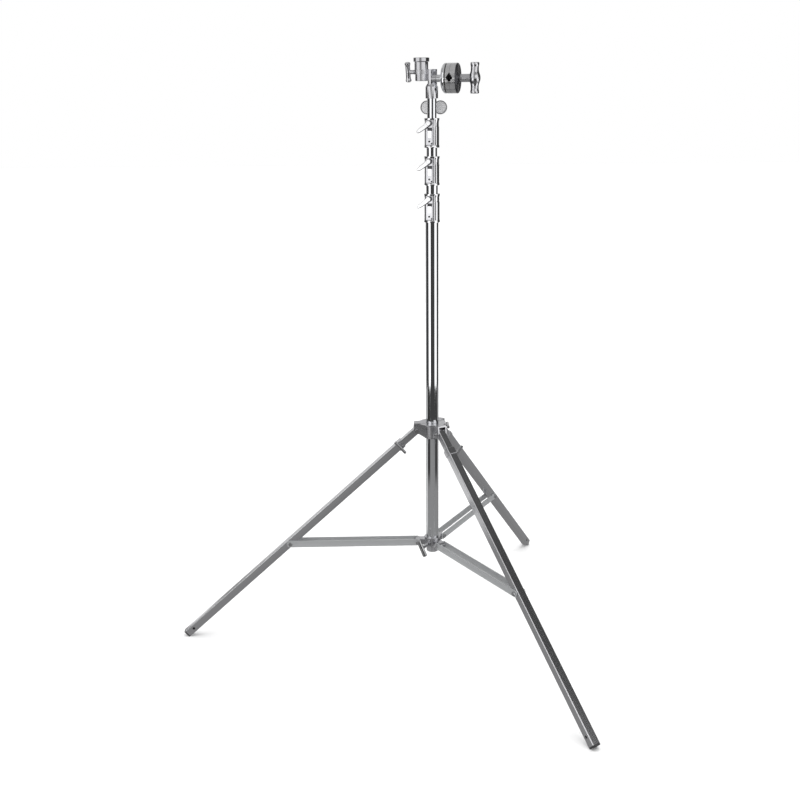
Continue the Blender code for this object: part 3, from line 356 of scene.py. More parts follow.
class Finish(Enum):
    """Every finish on the stand."""

    CHROME = MetalFinish(
        "chrome_tube", (0.94, 0.95, 0.97), (0.86, 0.87, 0.89), (0.03, 0.09), 900.0, 40.0, 1e-6)
    LEG_STEEL = MetalFinish(
        "leg_steel", (0.82, 0.82, 0.84), (0.68, 0.68, 0.70), (0.10, 0.22), 700.0, 60.0, 3e-6)
    BAR_STEEL = MetalFinish(
        "bar_steel", (0.66, 0.67, 0.68), (0.58, 0.59, 0.60), (0.42, 0.58), 700.0, 50.0, 6e-6, 0.7)
    CASTING = MetalFinish(
        "satin_casting", (0.70, 0.70, 0.72), (0.56, 0.56, 0.58), (0.20, 0.34), 480.0, 1.0, 2e-5)
    CLAMP = MetalFinish(
        "satin_casting", (0.92, 0.92, 0.94), (0.82, 0.82, 0.84), (0.05, 0.12), 420.0, 1.0, 3e-6)
    HEAD_CAST = MetalFinish(
        "satin_casting", (0.80, 0.80, 0.82), (0.70, 0.70, 0.72), (0.06, 0.14), 420.0, 1.0, 3e-6)
    CUP = MetalFinish(
        "chrome_tube", (0.68, 0.68, 0.70), (0.58, 0.58, 0.60), (0.07, 0.15), 700.0, 1.0, 3e-6)
    HANDLE = MetalFinish(
        "chrome_tube", (0.76, 0.76, 0.78), (0.66, 0.66, 0.68), (0.15, 0.25), 600.0, 1.0, 4e-6)
    # Darker tone for the collar boss's front face: painted shade on the same casting.
    BOSS = MetalFinish(
        "satin_casting", (0.60, 0.60, 0.62), (0.52, 0.52, 0.54), (0.12, 0.22), 420.0, 1.0, 3e-6)
    LEVER = MetalFinish(
        "bright_casting", (0.80, 0.80, 0.81), (0.73, 0.73, 0.74), (0.12, 0.22), 420.0, 1.0, 6e-6)
    # Dark tone for the lever's sides and rounded edges: painted shade.
    LEVER_EDGE = MetalFinish(
        "bright_casting", (0.25, 0.25, 0.26), (0.18, 0.18, 0.19), (0.3, 0.45), 420.0, 1.0, 6e-6, 0.7)
    EARS = MetalFinish(
        "plated_screws", (0.80, 0.80, 0.81), (0.72, 0.72, 0.73), (0.34, 0.46), 520.0, 1.0, 1e-5, 0.3)
    # Dark tone for the ears' rims and outer edges: painted shade.
    EAR_RIM = MetalFinish(
        "plated_screws", (0.36, 0.36, 0.37), (0.28, 0.28, 0.29), (0.30, 0.45), 520.0, 1.0, 8e-6, 0.6)
    SCREW = MetalFinish(
        "plated_screws", (0.64, 0.64, 0.65), (0.52, 0.52, 0.53), (0.16, 0.28), 600.0, 6.0, 6e-6)
    # Black socket screws and nuts; the same finish is also the painted shade in the pocket under each lever.
    DARK_SCREW = MetalFinish(
        "plated_screws", (0.10, 0.10, 0.11), (0.06, 0.06, 0.06), (0.25, 0.40), 600.0, 6.0, 6e-6)
    LEG_SCREW = MetalFinish(
        "leg_steel", (0.64, 0.64, 0.65), (0.52, 0.52, 0.53), (0.16, 0.28), 600.0, 6.0, 6e-6)
    JAW = TurnedFinish(
        "chrome_tube", (0.88, 0.88, 0.89), (0.76, 0.76, 0.77), (0.10, 0.20), 380.0, 6e-6)
    # Dark tone for the jaws' face and groove: painted shade.
    DARK_JAW = TurnedFinish(
        "dark_jaw", (0.15, 0.15, 0.16), (0.10, 0.10, 0.11), (0.26, 0.44), 380.0, 4e-5)
    FIBRE = MouldedFinish(
        "fibre_washer", (0.045, 0.040, 0.036), (0.070, 0.062, 0.055), (0.7, 0.9), 900.0, 3e-5)
    RUBBER = MouldedFinish(
        "black_rubber", (0.018, 0.018, 0.020), (0.040, 0.040, 0.042), (0.55, 0.80), 700.0, 3e-5)
    PLASTIC = MouldedFinish(
        "grey_plastic", (0.30, 0.30, 0.31), (0.20, 0.20, 0.21), (0.40, 0.60), 700.0, 2e-5)

    def dress(self, piece: bpy.types.Object, along: Matrix = Matrix.Identity(4)) -> None:
        """Give a piece this finish.

        Args:
            piece: The piece.
            along: Frame whose Z is the way the grain runs, or the turned piece's axis.
        """
        piece.data.materials.clear()
        piece.data.materials.append(self.value.make(f"{self.name.lower()}_{piece.name}", along))

    def touch_up(self, piece: bpy.types.Object, chosen: Callable[[bpy.types.MeshPolygon], bool],
                 along: Matrix = Matrix.Identity(4)) -> None:
        """Give some faces of a finished piece this finish instead.

        Args:
            piece: The piece.
            chosen: Tells whether a face is one of them.
            along: Frame whose Z is the way the grain runs, or the turned piece's axis.
        """
        piece.data.materials.append(self.value.make(f"{self.name.lower()}_{piece.name}", along))
        Bench.take(piece)
        bpy.ops.object.mode_set(mode="EDIT")
        bpy.ops.mesh.select_mode(type="FACE")
        bpy.ops.mesh.select_all(action="DESELECT")
        bpy.ops.object.mode_set(mode="OBJECT")
        for face in piece.data.polygons:
            face.select = chosen(face)
        bpy.ops.object.mode_set(mode="EDIT")
        piece.active_material_index = len(piece.data.materials) - 1
        bpy.ops.object.material_slot_assign()
        bpy.ops.object.mode_set(mode="OBJECT")


# Modelling steps


class Bench:
    """Steps of modelling by hand: a primitive, edit-mode operators, then applied modifiers."""

    @staticmethod
    def clear() -> None:
        """Deselect everything."""
        bpy.ops.object.select_all(action="DESELECT")

    @staticmethod
    def take(piece: bpy.types.Object) -> None:
        """Make a piece the only one selected, and active."""
        Bench.clear()
        piece.select_set(True)
        bpy.context.view_layer.objects.active = piece

    @staticmethod
    def open_plane(name: str, size: float, height: float = 0.0) -> bpy.types.Object:
        """Add a square plane and open it in edit mode with all of it selected.

        Args:
            name: The piece's name.
            size: The square's side.
            height: Its height.

        Returns:
            The piece.
        """
        Bench.clear()
        bpy.ops.mesh.primitive_plane_add(size=size, location=(0.0, 0.0, height))
        piece = bpy.context.object
        piece.name = name
        piece.data.name = name
        bpy.ops.object.transform_apply(location=True, rotation=False, scale=False)
        bpy.ops.object.mode_set(mode="EDIT")
        bpy.ops.mesh.select_mode(type="VERT")
        bpy.ops.mesh.select_all(action="SELECT")
        return piece

    @staticmethod
    def draw(name: str, points: list[tuple[float, float, float]]) -> bpy.types.Object:
        """Draw a line of edges point by point.

        Args:
            name: The piece's name.
            points: The line's points.

        Returns:
            The piece, open in edit mode with its whole line selected.
        """
        piece = Bench.open_plane(name, 0.001)
        bpy.ops.mesh.merge(type="CENTER")
        bpy.ops.transform.translate(value=points[0])
        for last, point in zip(points, points[1:]):
            step = Vector(point) - Vector(last)
            bpy.ops.mesh.extrude_vertices_move(TRANSFORM_OT_translate={"value": step})
        bpy.ops.mesh.select_all(action="SELECT")
        return piece

    @staticmethod
    def close(piece: bpy.types.Object) -> bpy.types.Object:
        """Merge doubles, point the faces outwards and leave edit mode.

        Args:
            piece: The piece that is open in edit mode.

        Returns:
            The same piece.
        """
        bpy.ops.mesh.select_all(action="SELECT")
        bpy.ops.mesh.remove_doubles(threshold=1e-6)
        bpy.ops.mesh.normals_make_consistent(inside=False)
        bpy.ops.object.mode_set(mode="OBJECT")
        return piece

    @staticmethod
    def turned(name: str, profile: list[tuple[float, float]], steps: int = 72) -> bpy.types.Object:
        """Spin a profile round Z.

        Args:
            name: The piece's name.
            profile: Points of radius and height; a ring's profile is closed by itself.
            steps: Steps in the turn.

        Returns:
            The turned piece.
        """
        line = list(profile)
        if profile[0][0] > 0.0:
            line.append(profile[0])
        piece = Bench.draw(name, [(radius, 0.0, height) for radius, height in line])
        bpy.ops.mesh.spin(steps=steps, angle=TURN, center=(0.0, 0.0, 0.0), axis=(0.0, 0.0, 1.0))
        return Bench.close(piece)

    @staticmethod
    def plate(name: str, outline: list[tuple[float, float]], low: float, high: float) -> bpy.types.Object:
        """Fill an outline and extrude it.

        Args:
            name: The piece's name.
            outline: Points of the outline in XY.
            low: Where its lower face is.
            high: Where its upper face is.

        Returns:
            The plate.
        """
        points = [(x, y, low) for x, y in [*outline, outline[0]]]
        piece = Bench.draw(name, points)
        bpy.ops.mesh.remove_doubles(threshold=1e-6)
        bpy.ops.mesh.edge_face_add()
        bpy.ops.mesh.extrude_region_move(TRANSFORM_OT_translate={"value": (0.0, 0.0, high - low)})
        return Bench.close(piece)

    @staticmethod
    def square_tube(name: str, half: float, corner: float, low: float, high: float,
                    wall: float | None = None) -> bpy.types.Object:
        """Extrude a square with round corners, solid or hollow.

        Args:
            name: The piece's name.
            half: Half its width.
            corner: Radius of its corners.
            low: Where it starts along Z.
            high: Where it ends.
            wall: Its wall, or None for a solid bar.

        Returns:
            The tube or bar.
        """
        piece = Bench.open_plane(name, 2.0 * half, low)
        bpy.ops.mesh.bevel(offset=corner, segments=6, affect="VERTICES")
        bpy.ops.mesh.select_all(action="SELECT")
        if wall is not None:
            bpy.ops.mesh.select_mode(type="FACE")
            bpy.ops.mesh.inset(thickness=wall)
            bpy.ops.mesh.delete(type="FACE")
            bpy.ops.mesh.select_all(action="SELECT")
        bpy.ops.mesh.extrude_region_move(TRANSFORM_OT_translate={"value": (0.0, 0.0, high - low)})
        return Bench.close(piece)

    @staticmethod
    def block(name: str, low: tuple[float, float, float],
              high: tuple[float, float, float]) -> bpy.types.Object:
        """Make a block between two corners.

        Args:
            name: The piece's name.
            low: Its lowest corner.
            high: Its highest corner.

        Returns:
            The block.
        """
        corners = [(low[0], low[1]), (high[0], low[1]), (high[0], high[1]), (low[0], high[1])]
        return Bench.plate(name, corners, low[2], high[2])

    @staticmethod
    def rod(name: str, radius: float, low: float, high: float, steps: int = 48) -> bpy.types.Object:
        """Make a plain rod along Z, used to cut holes or to be joined on.

        Args:
            name: The piece's name.
            radius: Its radius.
            low: Where it starts.
            high: Where it ends.
            steps: Sides of the rod.

        Returns:
            The rod.
        """
        return Bench.turned(name, [(0.0, low), (radius, low), (radius, high), (0.0, high)], steps)

    @staticmethod
    def apply(piece: bpy.types.Object) -> None:
        """Apply all of a piece's modifiers, first to last."""
        Bench.take(piece)
        for step in list(piece.modifiers):
            bpy.ops.object.modifier_apply(modifier=step.name)

    @staticmethod
    def combine(piece: bpy.types.Object, tool: bpy.types.Object, operation: str) -> None:
        """Join or cut a piece with a tool, which is used up.

        Args:
            piece: The piece.
            tool: The other shape.
            operation: UNION or DIFFERENCE.
        """
        step = piece.modifiers.new("combine", "BOOLEAN")
        step.operation = operation
        step.solver = "EXACT"
        step.object = tool
        Bench.apply(piece)
        bpy.data.objects.remove(tool)

    @staticmethod
    def join(piece: bpy.types.Object, tool: bpy.types.Object) -> None:
        """Join a shape to a piece."""
        Bench.combine(piece, tool, "UNION")

    @staticmethod
    def cut(piece: bpy.types.Object, tool: bpy.types.Object) -> None:
        """Cut a shape out of a piece."""
        Bench.combine(piece, tool, "DIFFERENCE")

    @staticmethod
    def soften(piece: bpy.types.Object, width: float, degrees: float = 35.0) -> None:
        """Round a piece's edges.

        Args:
            piece: The piece.
            width: How wide the rounding is.
            degrees: Edges sharper than this are rounded.
        """
        step = piece.modifiers.new("soften", "BEVEL")
        step.width = width
        step.segments = 3
        step.limit_method = "ANGLE"
        step.angle_limit = math.radians(degrees)
        Bench.apply(piece)

    @staticmethod
    def lay(piece: bpy.types.Object, place: Matrix) -> bpy.types.Object:
        """Put a piece in a frame and apply its place to its mesh.

        Args:
            piece: The piece.
            place: The frame it was modelled in.

        Returns:
            The same piece.
        """
        Bench.take(piece)
        piece.matrix_world = place
        bpy.ops.object.transform_apply(location=True, rotation=True, scale=True)
        return piece

    @staticmethod
    def twin(piece: bpy.types.Object, name: str) -> bpy.types.Object:
        """Copy a piece with a mesh of its own.

        Args:
            piece: The piece to copy.
            name: The copy's name.

        Returns:
            The copy.
        """
        Bench.take(piece)
        bpy.ops.object.duplicate()
        copy = bpy.context.object
        copy.name = name
        copy.data.name = name
        return copy

    @staticmethod
    def repeat(piece: bpy.types.Object, tool: bpy.types.Object, places: list[Matrix], operation: str) -> None:
        """Join or cut a piece with a copy of a tool at each of several places.

        Args:
            piece: The piece.
            tool: The other shape, which is used up.
            places: Where its copies go.
            operation: UNION or DIFFERENCE.
        """
        for place in places:
            Bench.combine(piece, Bench.lay(Bench.twin(tool, "tool_copy"), place), operation)
        bpy.data.objects.remove(tool)

    @staticmethod
    def even_shading(piece: bpy.types.Object) -> None:
        """Smooth a piece's round faces and let its large faces set the normals, so flat ones look flat."""
        Bench.take(piece)
        bpy.ops.object.shade_smooth_by_angle(angle=math.radians(32.0))
        step = piece.modifiers.new("even_shading", "WEIGHTED_NORMAL")
        step.keep_sharp = True
        Bench.apply(piece)


@dataclass(frozen=True)
class Fitting:
    """What a finished piece rides on, which finish it has and which solid it stands for."""

    body: str
    finish: Finish
    nodes: tuple[str, ...] = ()

    def fit(self, piece: bpy.types.Object, along: Matrix = Matrix.Identity(4)) -> None:
        """Shade and dress a piece and hand it to its body.

        Args:
            piece: The piece, already in place.
            along: Frame of the finish's grain or rings.
        """
        Bench.even_shading(piece)
        self.finish.dress(piece, along)
        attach(piece, self.body)
        if self.nodes:
            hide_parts(*self.nodes)
        LOG.info("%s rides on %s", piece.name, self.body)


@dataclass(frozen=True)
class Spot:
    """Where one copy of a repeated piece goes: its name, the body it rides on and its frame."""

    node: str
    body: str
    place: Matrix


def set_out(model: bpy.types.Object, finish: Finish, spots: list[Spot]) -> None:
    """Copy a model to its spots, each copy with a mesh of its own, and put the model away.

    Args:
        model: The piece, modelled once in its own frame.
        finish: The finish of every copy.
        spots: Where the copies go; a spot named for a solid stands for it.
    """
    for spot in spots:
        piece = Bench.lay(Bench.twin(model, f"{spot.node}_fine"), spot.place)
        stands_for = (spot.node,) if spot.node in frame["nodes"] else ()
        Fitting(spot.body, finish, stands_for).fit(piece, spot.place)
    bpy.data.objects.remove(model)


def arc(centre: tuple[float, float], radius: float, start: float, end: float,
        steps: int) -> list[tuple[float, float]]:
    """Points on an arc.

    Args:
        centre: The arc's centre.
        radius: Its radius.
        start: Where it starts, in radians.
        end: Where it ends.
        steps: How many steps it takes.

    Returns:
        The points, both ends among them.
    """
    angles = [start + (end - start) * step / steps for step in range(steps + 1)]
    return [(centre[0] + radius * math.cos(a), centre[1] + radius * math.sin(a)) for a in angles]


def flowing(stations: list[tuple[float, float]], steps: int) -> list[tuple[float, float]]:
    """A profile that eases from each station to the next.

    Args:
        stations: Points of radius and height.
        steps: Steps between two stations.

    Returns:
        The eased profile.
    """
    line = [stations[0]]
    for (r0, z0), (r1, z1) in zip(stations, stations[1:]):
        for step in range(1, steps + 1):
            share = step / steps
            eased = share * share * (3.0 - 2.0 * share)
            line.append((r0 + (r1 - r0) * eased, z0 + (z1 - z0) * share))
    return line


# Screws and bolts


@dataclass(frozen=True)
class TBolt:
    """Clamp screw with a cross bar; its axis is Z."""

    start: float
    shoulder: float
    bar_at: float
    shank_d: float
    stem_d: float
    bar_d: float
    bar_length: float
    bar_turn: float = 0.0
    flare_d: float | None = None

    def build(self, name: str, place: Matrix) -> bpy.types.Object:
        """Model the bolt.

        Args:
            name: The piece's name.
            place: The frame of its axis.

        Returns:
            The bolt, in place.
        """
        shank, stem, bar = self.shank_d / 2.0, self.stem_d / 2.0, self.bar_d / 2.0
        profile = [
            (0.0, self.start), (shank - 0.0008, self.start), (shank, self.start + 0.0008),
            (shank, self.shoulder), (stem, self.shoulder), (stem, self.bar_at), (0.0, self.bar_at),
        ]
        bolt = Bench.turned(name, profile, 48)
        half = self.bar_length / 2.0
        end = bar if self.flare_d is None else self.flare_d / 2.0
        edge = end * 0.3
        side = [(end - edge, half), (end, half - edge)]
        if self.flare_d is not None:
            side += flowing([(end, half * 0.84), (bar, half * 0.58)], 6)
        side.append((bar, half * 0.2))
        profile = [(0.0, half), *side, *((r, -z) for r, z in reversed(side)), (0.0, -half)]
        cross = Bench.turned("cross_bar", profile, 48)
        Bench.lay(cross, move(z=self.bar_at) @ turn(self.bar_turn) @ LAY_ALONG_X)
        Bench.join(bolt, cross)
        Bench.soften(bolt, 0.0005)
        return Bench.lay(bolt, place)


@dataclass(frozen=True)
class HexBolt:
    """Hexagon bolt along Z, with chamfered hexagons and a chamfered end."""

    diameter: float
    across: float = 0.015
    head: float = 0.0055
    nut: float = 0.0065
    thread_end: float = 0.003

    def hexagon(self, name: str, low: float, high: float) -> bpy.types.Object:
        """Model one hexagon with its corners chamfered.

        Args:
            name: The piece's name.
            low: Where it starts along Z.
            high: Where it ends.

        Returns:
            The hexagon.
        """
        radius = self.across / 2.0 / math.cos(TURN / 12.0)
        shape = Bench.plate(name, arc((0.0, 0.0), radius, 0.0, TURN * 5.0 / 6.0, 5), low, high)
        Bench.soften(shape, 0.0006, 50.0)
        return shape

    def through(self, seat: float) -> bpy.types.Object:
        """Model a bolt with its nut, across a fork.

        Args:
            seat: Half the width between the hexagons.

        Returns:
            The bolt, along Z.
        """
        radius = self.diameter / 2.0
        end = -seat - self.nut - self.thread_end
        profile = [(0.0, end), (radius - 0.001, end), (radius, end + 0.001), (radius, seat + 0.001),
                   (0.0, seat + 0.001)]
        bolt = Bench.turned("through_bolt", profile, 36)
        Bench.join(bolt, self.hexagon("bolt_head", seat, seat + self.head))
        Bench.join(bolt, self.hexagon("nut", -seat - self.nut, -seat))
        return bolt

    def half(self, inner: float, seat: float, thick: float, end: float) -> bpy.types.Object:
        """Model the half of a bolt on one side of a leg.

        Args:
            inner: Where the shank starts.
            seat: Where the hexagon sits.
            thick: The hexagon's height.
            end: How far the thread stands out of the hexagon.

        Returns:
            The half bolt, pointing outwards along Z.
        """
        radius = self.diameter / 2.0
        top = seat + thick * 0.5 if end == 0.0 else seat + thick + end
        profile = [(0.0, inner), (radius, inner), (radius, top - 0.001), (radius - 0.001, top), (0.0, top)]
        piece = Bench.turned("half_bolt", profile, 36)
        Bench.join(piece, self.hexagon("hexagon", seat, seat + thick))
        return piece


# Sub-assemblies


@dataclass
class Column:
    """The base tube with its end plug, and the three risers."""

    base_d: float = 0.050
    riser_d: tuple[float, float, float] = (0.045, 0.040, 0.035)
    wall: float = 0.0018
    receiver_bore: float = 0.0288
    plug_d: float = 0.0485
    plug_round: float = 0.004
    plug_grooves: int = 12
    groove_w: float = 0.0028
    groove_depth: float = 0.0016
    groove_stop: float = 0.006
    boss_d: float = 0.018
    boss_reach: float = 0.027
    screw_d: float = 0.010

    def tube(self, node: str, outer_d: float, bore_d: float, body: str) -> None:
        """Model one tube with eased ends.

        Args:
            node: The solid it stands for, which gives its height.
            outer_d: Its outer diameter.
            bore_d: Its bore.
            body: The body it rides on.
        """
        low, high = (corner.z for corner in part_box(node))
        outer, bore, edge = outer_d / 2.0, bore_d / 2.0, 0.0005
        profile = [
            (bore, low), (outer - edge, low), (outer, low + edge), (outer, high - edge),
            (outer - edge, high), (bore, high),
        ]
        piece = Bench.turned(f"{node}_fine", profile, 96)
        if node == "riser_3_tube":
            self.add_screw_boss(piece)
        Bench.lay(piece, column_place())
        Fitting(body, Finish.CHROME, (node,)).fit(piece, column_place())

    def add_screw_boss(self, piece: bpy.types.Object) -> None:
        """Add the boss and the hole of the wing screw to riser 3."""
        seat = JointSeat.named("top_wing_screw_turn")
        place = column_place().inverted() @ seat.facing()
        middle = (self.receiver_bore + self.riser_d[2]) / 4.0
        boss = Bench.rod("screw_boss", self.boss_d / 2.0, middle, self.boss_reach)
        Bench.soften(boss, 0.0006)
        Bench.join(piece, Bench.lay(boss, place))
        hole = Bench.rod("screw_hole", self.screw_d / 2.0 + GAP, 0.0, self.boss_reach + OVERCUT)
        Bench.cut(piece, Bench.lay(hole, place))

    def end_plug(self) -> None:
        """Model the plug in the base tube's lower end, with its moulded grooves."""
        low, high = (corner.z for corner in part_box("base_end_plug"))
        lip = self.plug_d / 2.0
        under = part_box("base_tube")[0].z - GAP
        spigot = self.base_d / 2.0 - self.wall - GAP
        round_r, half = self.plug_round, self.groove_w / 2.0
        profile = [
            (0.0, low), (lip - round_r, low),
            *arc((lip - round_r, low + round_r), round_r, -TURN / 4.0, 0.0, 6)[1:],
            (lip, under), (spigot, under), (spigot, high), (0.0, high),
        ]
        plug = Bench.turned("base_end_plug_fine", profile, 96)
        groove = Bench.block(
            "plug_groove", (lip - self.groove_depth, -half, low - 0.001),
            (lip + 0.002, half, under - self.groove_stop),
        )
        step = TURN / self.plug_grooves
        places = [turn((index + 0.25) * step) for index in range(self.plug_grooves)]
        Bench.repeat(plug, groove, places, "DIFFERENCE")
        Bench.lay(plug, column_place())
        Fitting("base", Finish.PLASTIC, ("base_end_plug",)).fit(plug, column_place())

    def build(self) -> None:
        """Build every piece of the column."""
        self.tube("base_tube", self.base_d, self.base_d - 2.0 * self.wall, "base")
        for number, outer in enumerate(self.riser_d, start=1):
            bore = outer - 2.0 * self.wall if number < 3 else self.receiver_bore
            self.tube(f"riser_{number}_tube", outer, bore, f"riser_{number}")
        self.end_plug()


@dataclass
class BossScrews:
    """The dark socket screw on every collar's boss, the bright ring round it and the nut beside it."""

    head_d: float = 0.0086
    head: float = 0.0018
    ring_wide: float = 0.0018
    socket_r: float = 0.0024
    nut_r: float = 0.0038
    nut_aside: tuple[float, float] = (0.0098, -0.0078)

    def ring(self) -> bpy.types.Object:
        """Model the bright ring."""
        inner, outer = self.head_d / 2.0, self.head_d / 2.0 + self.ring_wide
        profile = [(inner, -0.0004), (outer, -0.0004), (outer - 0.0004, 0.0005), (inner, 0.0005)]
        return Bench.turned("screw_ring", profile, 36)

    def screw(self) -> bpy.types.Object:
        """Model the screw, with its hexagon socket."""
        radius, high = self.head_d / 2.0, self.head
        profile = [
            (0.0, -0.001), (radius, -0.001), (radius, high - 0.0004), (radius - 0.0004, high), (0.0, high),
        ]
        screw = Bench.turned("socket_screw", profile, 36)
        hexagon = arc((0.0, 0.0), self.socket_r, 0.0, TURN * 5.0 / 6.0, 5)
        Bench.cut(screw, Bench.plate("hex_socket", hexagon, 0.0002, 0.003))
        return screw

    def nut(self) -> bpy.types.Object:
        """Model the small nut, off to its side of the screw."""
        nut = Bench.plate("side_nut", arc((0.0, 0.0), self.nut_r, 0.0, TURN * 5.0 / 6.0, 5), -0.0005, 0.0016)
        Bench.soften(nut, 0.0003, 50.0)
        return Bench.lay(nut, move(*self.nut_aside))

    def build(self, seats: dict[str, Matrix]) -> None:
        """Build the three pieces on every collar.

        Args:
            seats: The screw's frame on each collar's boss, with Z out of it, under the collar's body.
        """
        models = (
            ("screw_ring", Finish.CLAMP, self.ring()),
            ("socket_screw", Finish.DARK_SCREW, self.screw()),
            ("side_nut", Finish.DARK_SCREW, self.nut()),
        )
        for kind, finish, model in models:
            set_out(model, finish, [Spot(f"{body}_{kind}", body, seat) for body, seat in seats.items()])


@dataclass
class ClampCollar:
    """One clamping collar with its pad and its lever."""

    prefix: str
    held_d: float
    guided_d: float
    outer_d: float
    lip: float = 0.0012
    lower_lip: float = 0.009
    upper_lip: float = 0.004
    waist: float = 0.001
    socket_share: float = 0.566
    boss_width: float = 0.028
    boss_proud: float = 0.0035
    boss_round: float = 0.0021
    boss_below_top: float = 0.0063
    window: tuple[float, float] = (0.014, 0.026)
    window_at: float = 0.050
    window_deep: float = 0.0012
    # Pocket in the boss under the lever; its inside is painted dark as the lever's shade.
    recess: tuple[float, float, float, float] = (-0.0070, 0.0115, 0.0612, 0.0728)
    recess_deep: float = 0.003
    flute_r: float = 0.007
    flute_deep: float = 0.0018
    flute_turn: float = math.radians(43.0)
    screw_at: float = 0.023
    stud_d: float = 0.010
    pad_d: float = 0.014
    pad_length: float = 0.006
    lever_length: float = 0.057
    lever_root: float = 0.0105
    lever_waist: float = 0.0080
    lever_blade: float = 0.0082
    lever_tip: float = 0.0052
    lever_shift: float = 0.0020
    lever_thick: float = 0.0060
    lever_lift: float = 0.0038
    droop: float = math.radians(34.0)

    @property
    def seat(self) -> JointSeat:
        """The lever's joint, on the face of the boss."""
        return JointSeat.named(f"{self.prefix}_lever_turn")

    @property
    def face(self) -> float:
        """Distance from the column's axis to the boss's face."""
        return self.outer_d / 2.0 + self.boss_proud

    @property
    def low(self) -> float:
        """The collar's lower end."""
        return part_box(f"{self.prefix}_collar")[0].z

    @property
    def boss_frame(self) -> Matrix:
        """Frame in the column's own, with Z out through the boss and Y up."""
        facing = column_place().inverted() @ self.seat.facing()
        facing.translation = Vector((0.0, 0.0, 0.0))
        return facing

    @property
    def screw_seat(self) -> Matrix:
        """Frame of the socket screw on the boss's face."""
        return column_place() @ self.boss_frame @ move(y=self.low + self.screw_at, z=self.face)

    def sleeve(self) -> None:
        """Model the casting: a lipped sleeve with a flat boss, its window, its flute, its holes and a pocket
        under the lever. The boss's face and the pocket are painted darker as shade.
        """
        low, high = (corner.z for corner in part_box(f"{self.prefix}_collar"))
        height = high - low
        held, guided, outer = self.held_d / 2.0 + GAP, self.guided_d / 2.0 + GAP, self.outer_d / 2.0
        socket = low + height * self.socket_share
        lipped, waist = outer + self.lip, outer - self.waist
        lower_lip, upper_lip = low + self.lower_lip, high - self.upper_lip
        profile = [
            (held, low), (lipped, low), (lipped, lower_lip - 0.002), (outer, lower_lip),
            (outer, low + height * 0.70), (waist, low + height * 0.73), (waist, low + height * 0.88),
            (lipped, upper_lip), (lipped, high), (guided, high), (guided, socket), (held, socket),
        ]
        collar = Bench.turned(f"{self.prefix}_collar_fine", profile, 96)
        boss_frame = self.boss_frame
        flute = Bench.rod("flute", self.flute_r, lower_lip, upper_lip)
        beside = boss_frame @ Matrix.Rotation(self.flute_turn, 4, "Y")
        beside = beside @ move(z=outer + self.flute_r - self.flute_deep) @ STAND_UP.inverted()
        Bench.cut(collar, Bench.lay(flute, beside))
        half, top = self.boss_width / 2.0, high - self.boss_below_top
        outline = [(-half, lower_lip), (half, lower_lip), (half, top), (-half, top)]
        boss = Bench.plate("boss", outline, self.held_d / 2.0 + 0.0008, self.face)
        Bench.soften(boss, self.boss_round, 60.0)
        Bench.join(collar, Bench.lay(boss, boss_frame))
        middle = low + self.window_at
        corners = (self.window[0] / 2.0, self.window[1] / 2.0)
        window = Bench.block(
            "window", (-corners[0], middle - corners[1], self.face - self.window_deep),
            (corners[0], middle + corners[1], self.face + 0.002),
        )
        Bench.cut(collar, Bench.lay(window, boss_frame))
        left, right, under, over = self.recess
        deep = self.face - self.recess_deep
        recess = Bench.block("recess", (left, low + under, deep), (right, low + over, self.face + 0.002))
        Bench.cut(collar, Bench.lay(recess, boss_frame))
        stud_z = self.seat.place.z
        pad_end = guided + self.pad_length
        pocket = Bench.rod("pad_pocket", self.pad_d / 2.0 + GAP, guided * 0.6, pad_end + GAP)
        Bench.cut(collar, Bench.lay(pocket, boss_frame @ move(y=stud_z)))
        hole = Bench.rod("stud_hole", self.stud_d / 2.0 + GAP, guided, self.face + OVERCUT)
        Bench.cut(collar, Bench.lay(hole, boss_frame @ move(y=stud_z)))
        Bench.soften(collar, 0.0004, 40.0)
        Bench.lay(collar, column_place())
        Fitting(self.prefix, Finish.CLAMP, (f"{self.prefix}_collar",)).fit(collar)
        back = (column_place() @ boss_frame).inverted()
        front = self.face - 5.0 * NEAR

        def in_recess(face: bpy.types.MeshPolygon) -> bool:
            """Tell whether a face of the mesh is inside the pocket under the lever, which is painted dark as
            shade.
            """
            spot = back @ face.center
            return (left - NEAR < spot.x < right + NEAR and under - NEAR < spot.y - low < over + NEAR
                    and deep - NEAR < spot.z < front)

        # The boss's front face gets a darker tone than the rest of the casting: painted shade.
        Finish.BOSS.touch_up(collar, lambda face: (back @ face.center).z > front)
        # The pocket under the lever is painted with the black screws' finish: painted shade.
        Finish.DARK_SCREW.touch_up(collar, in_recess)

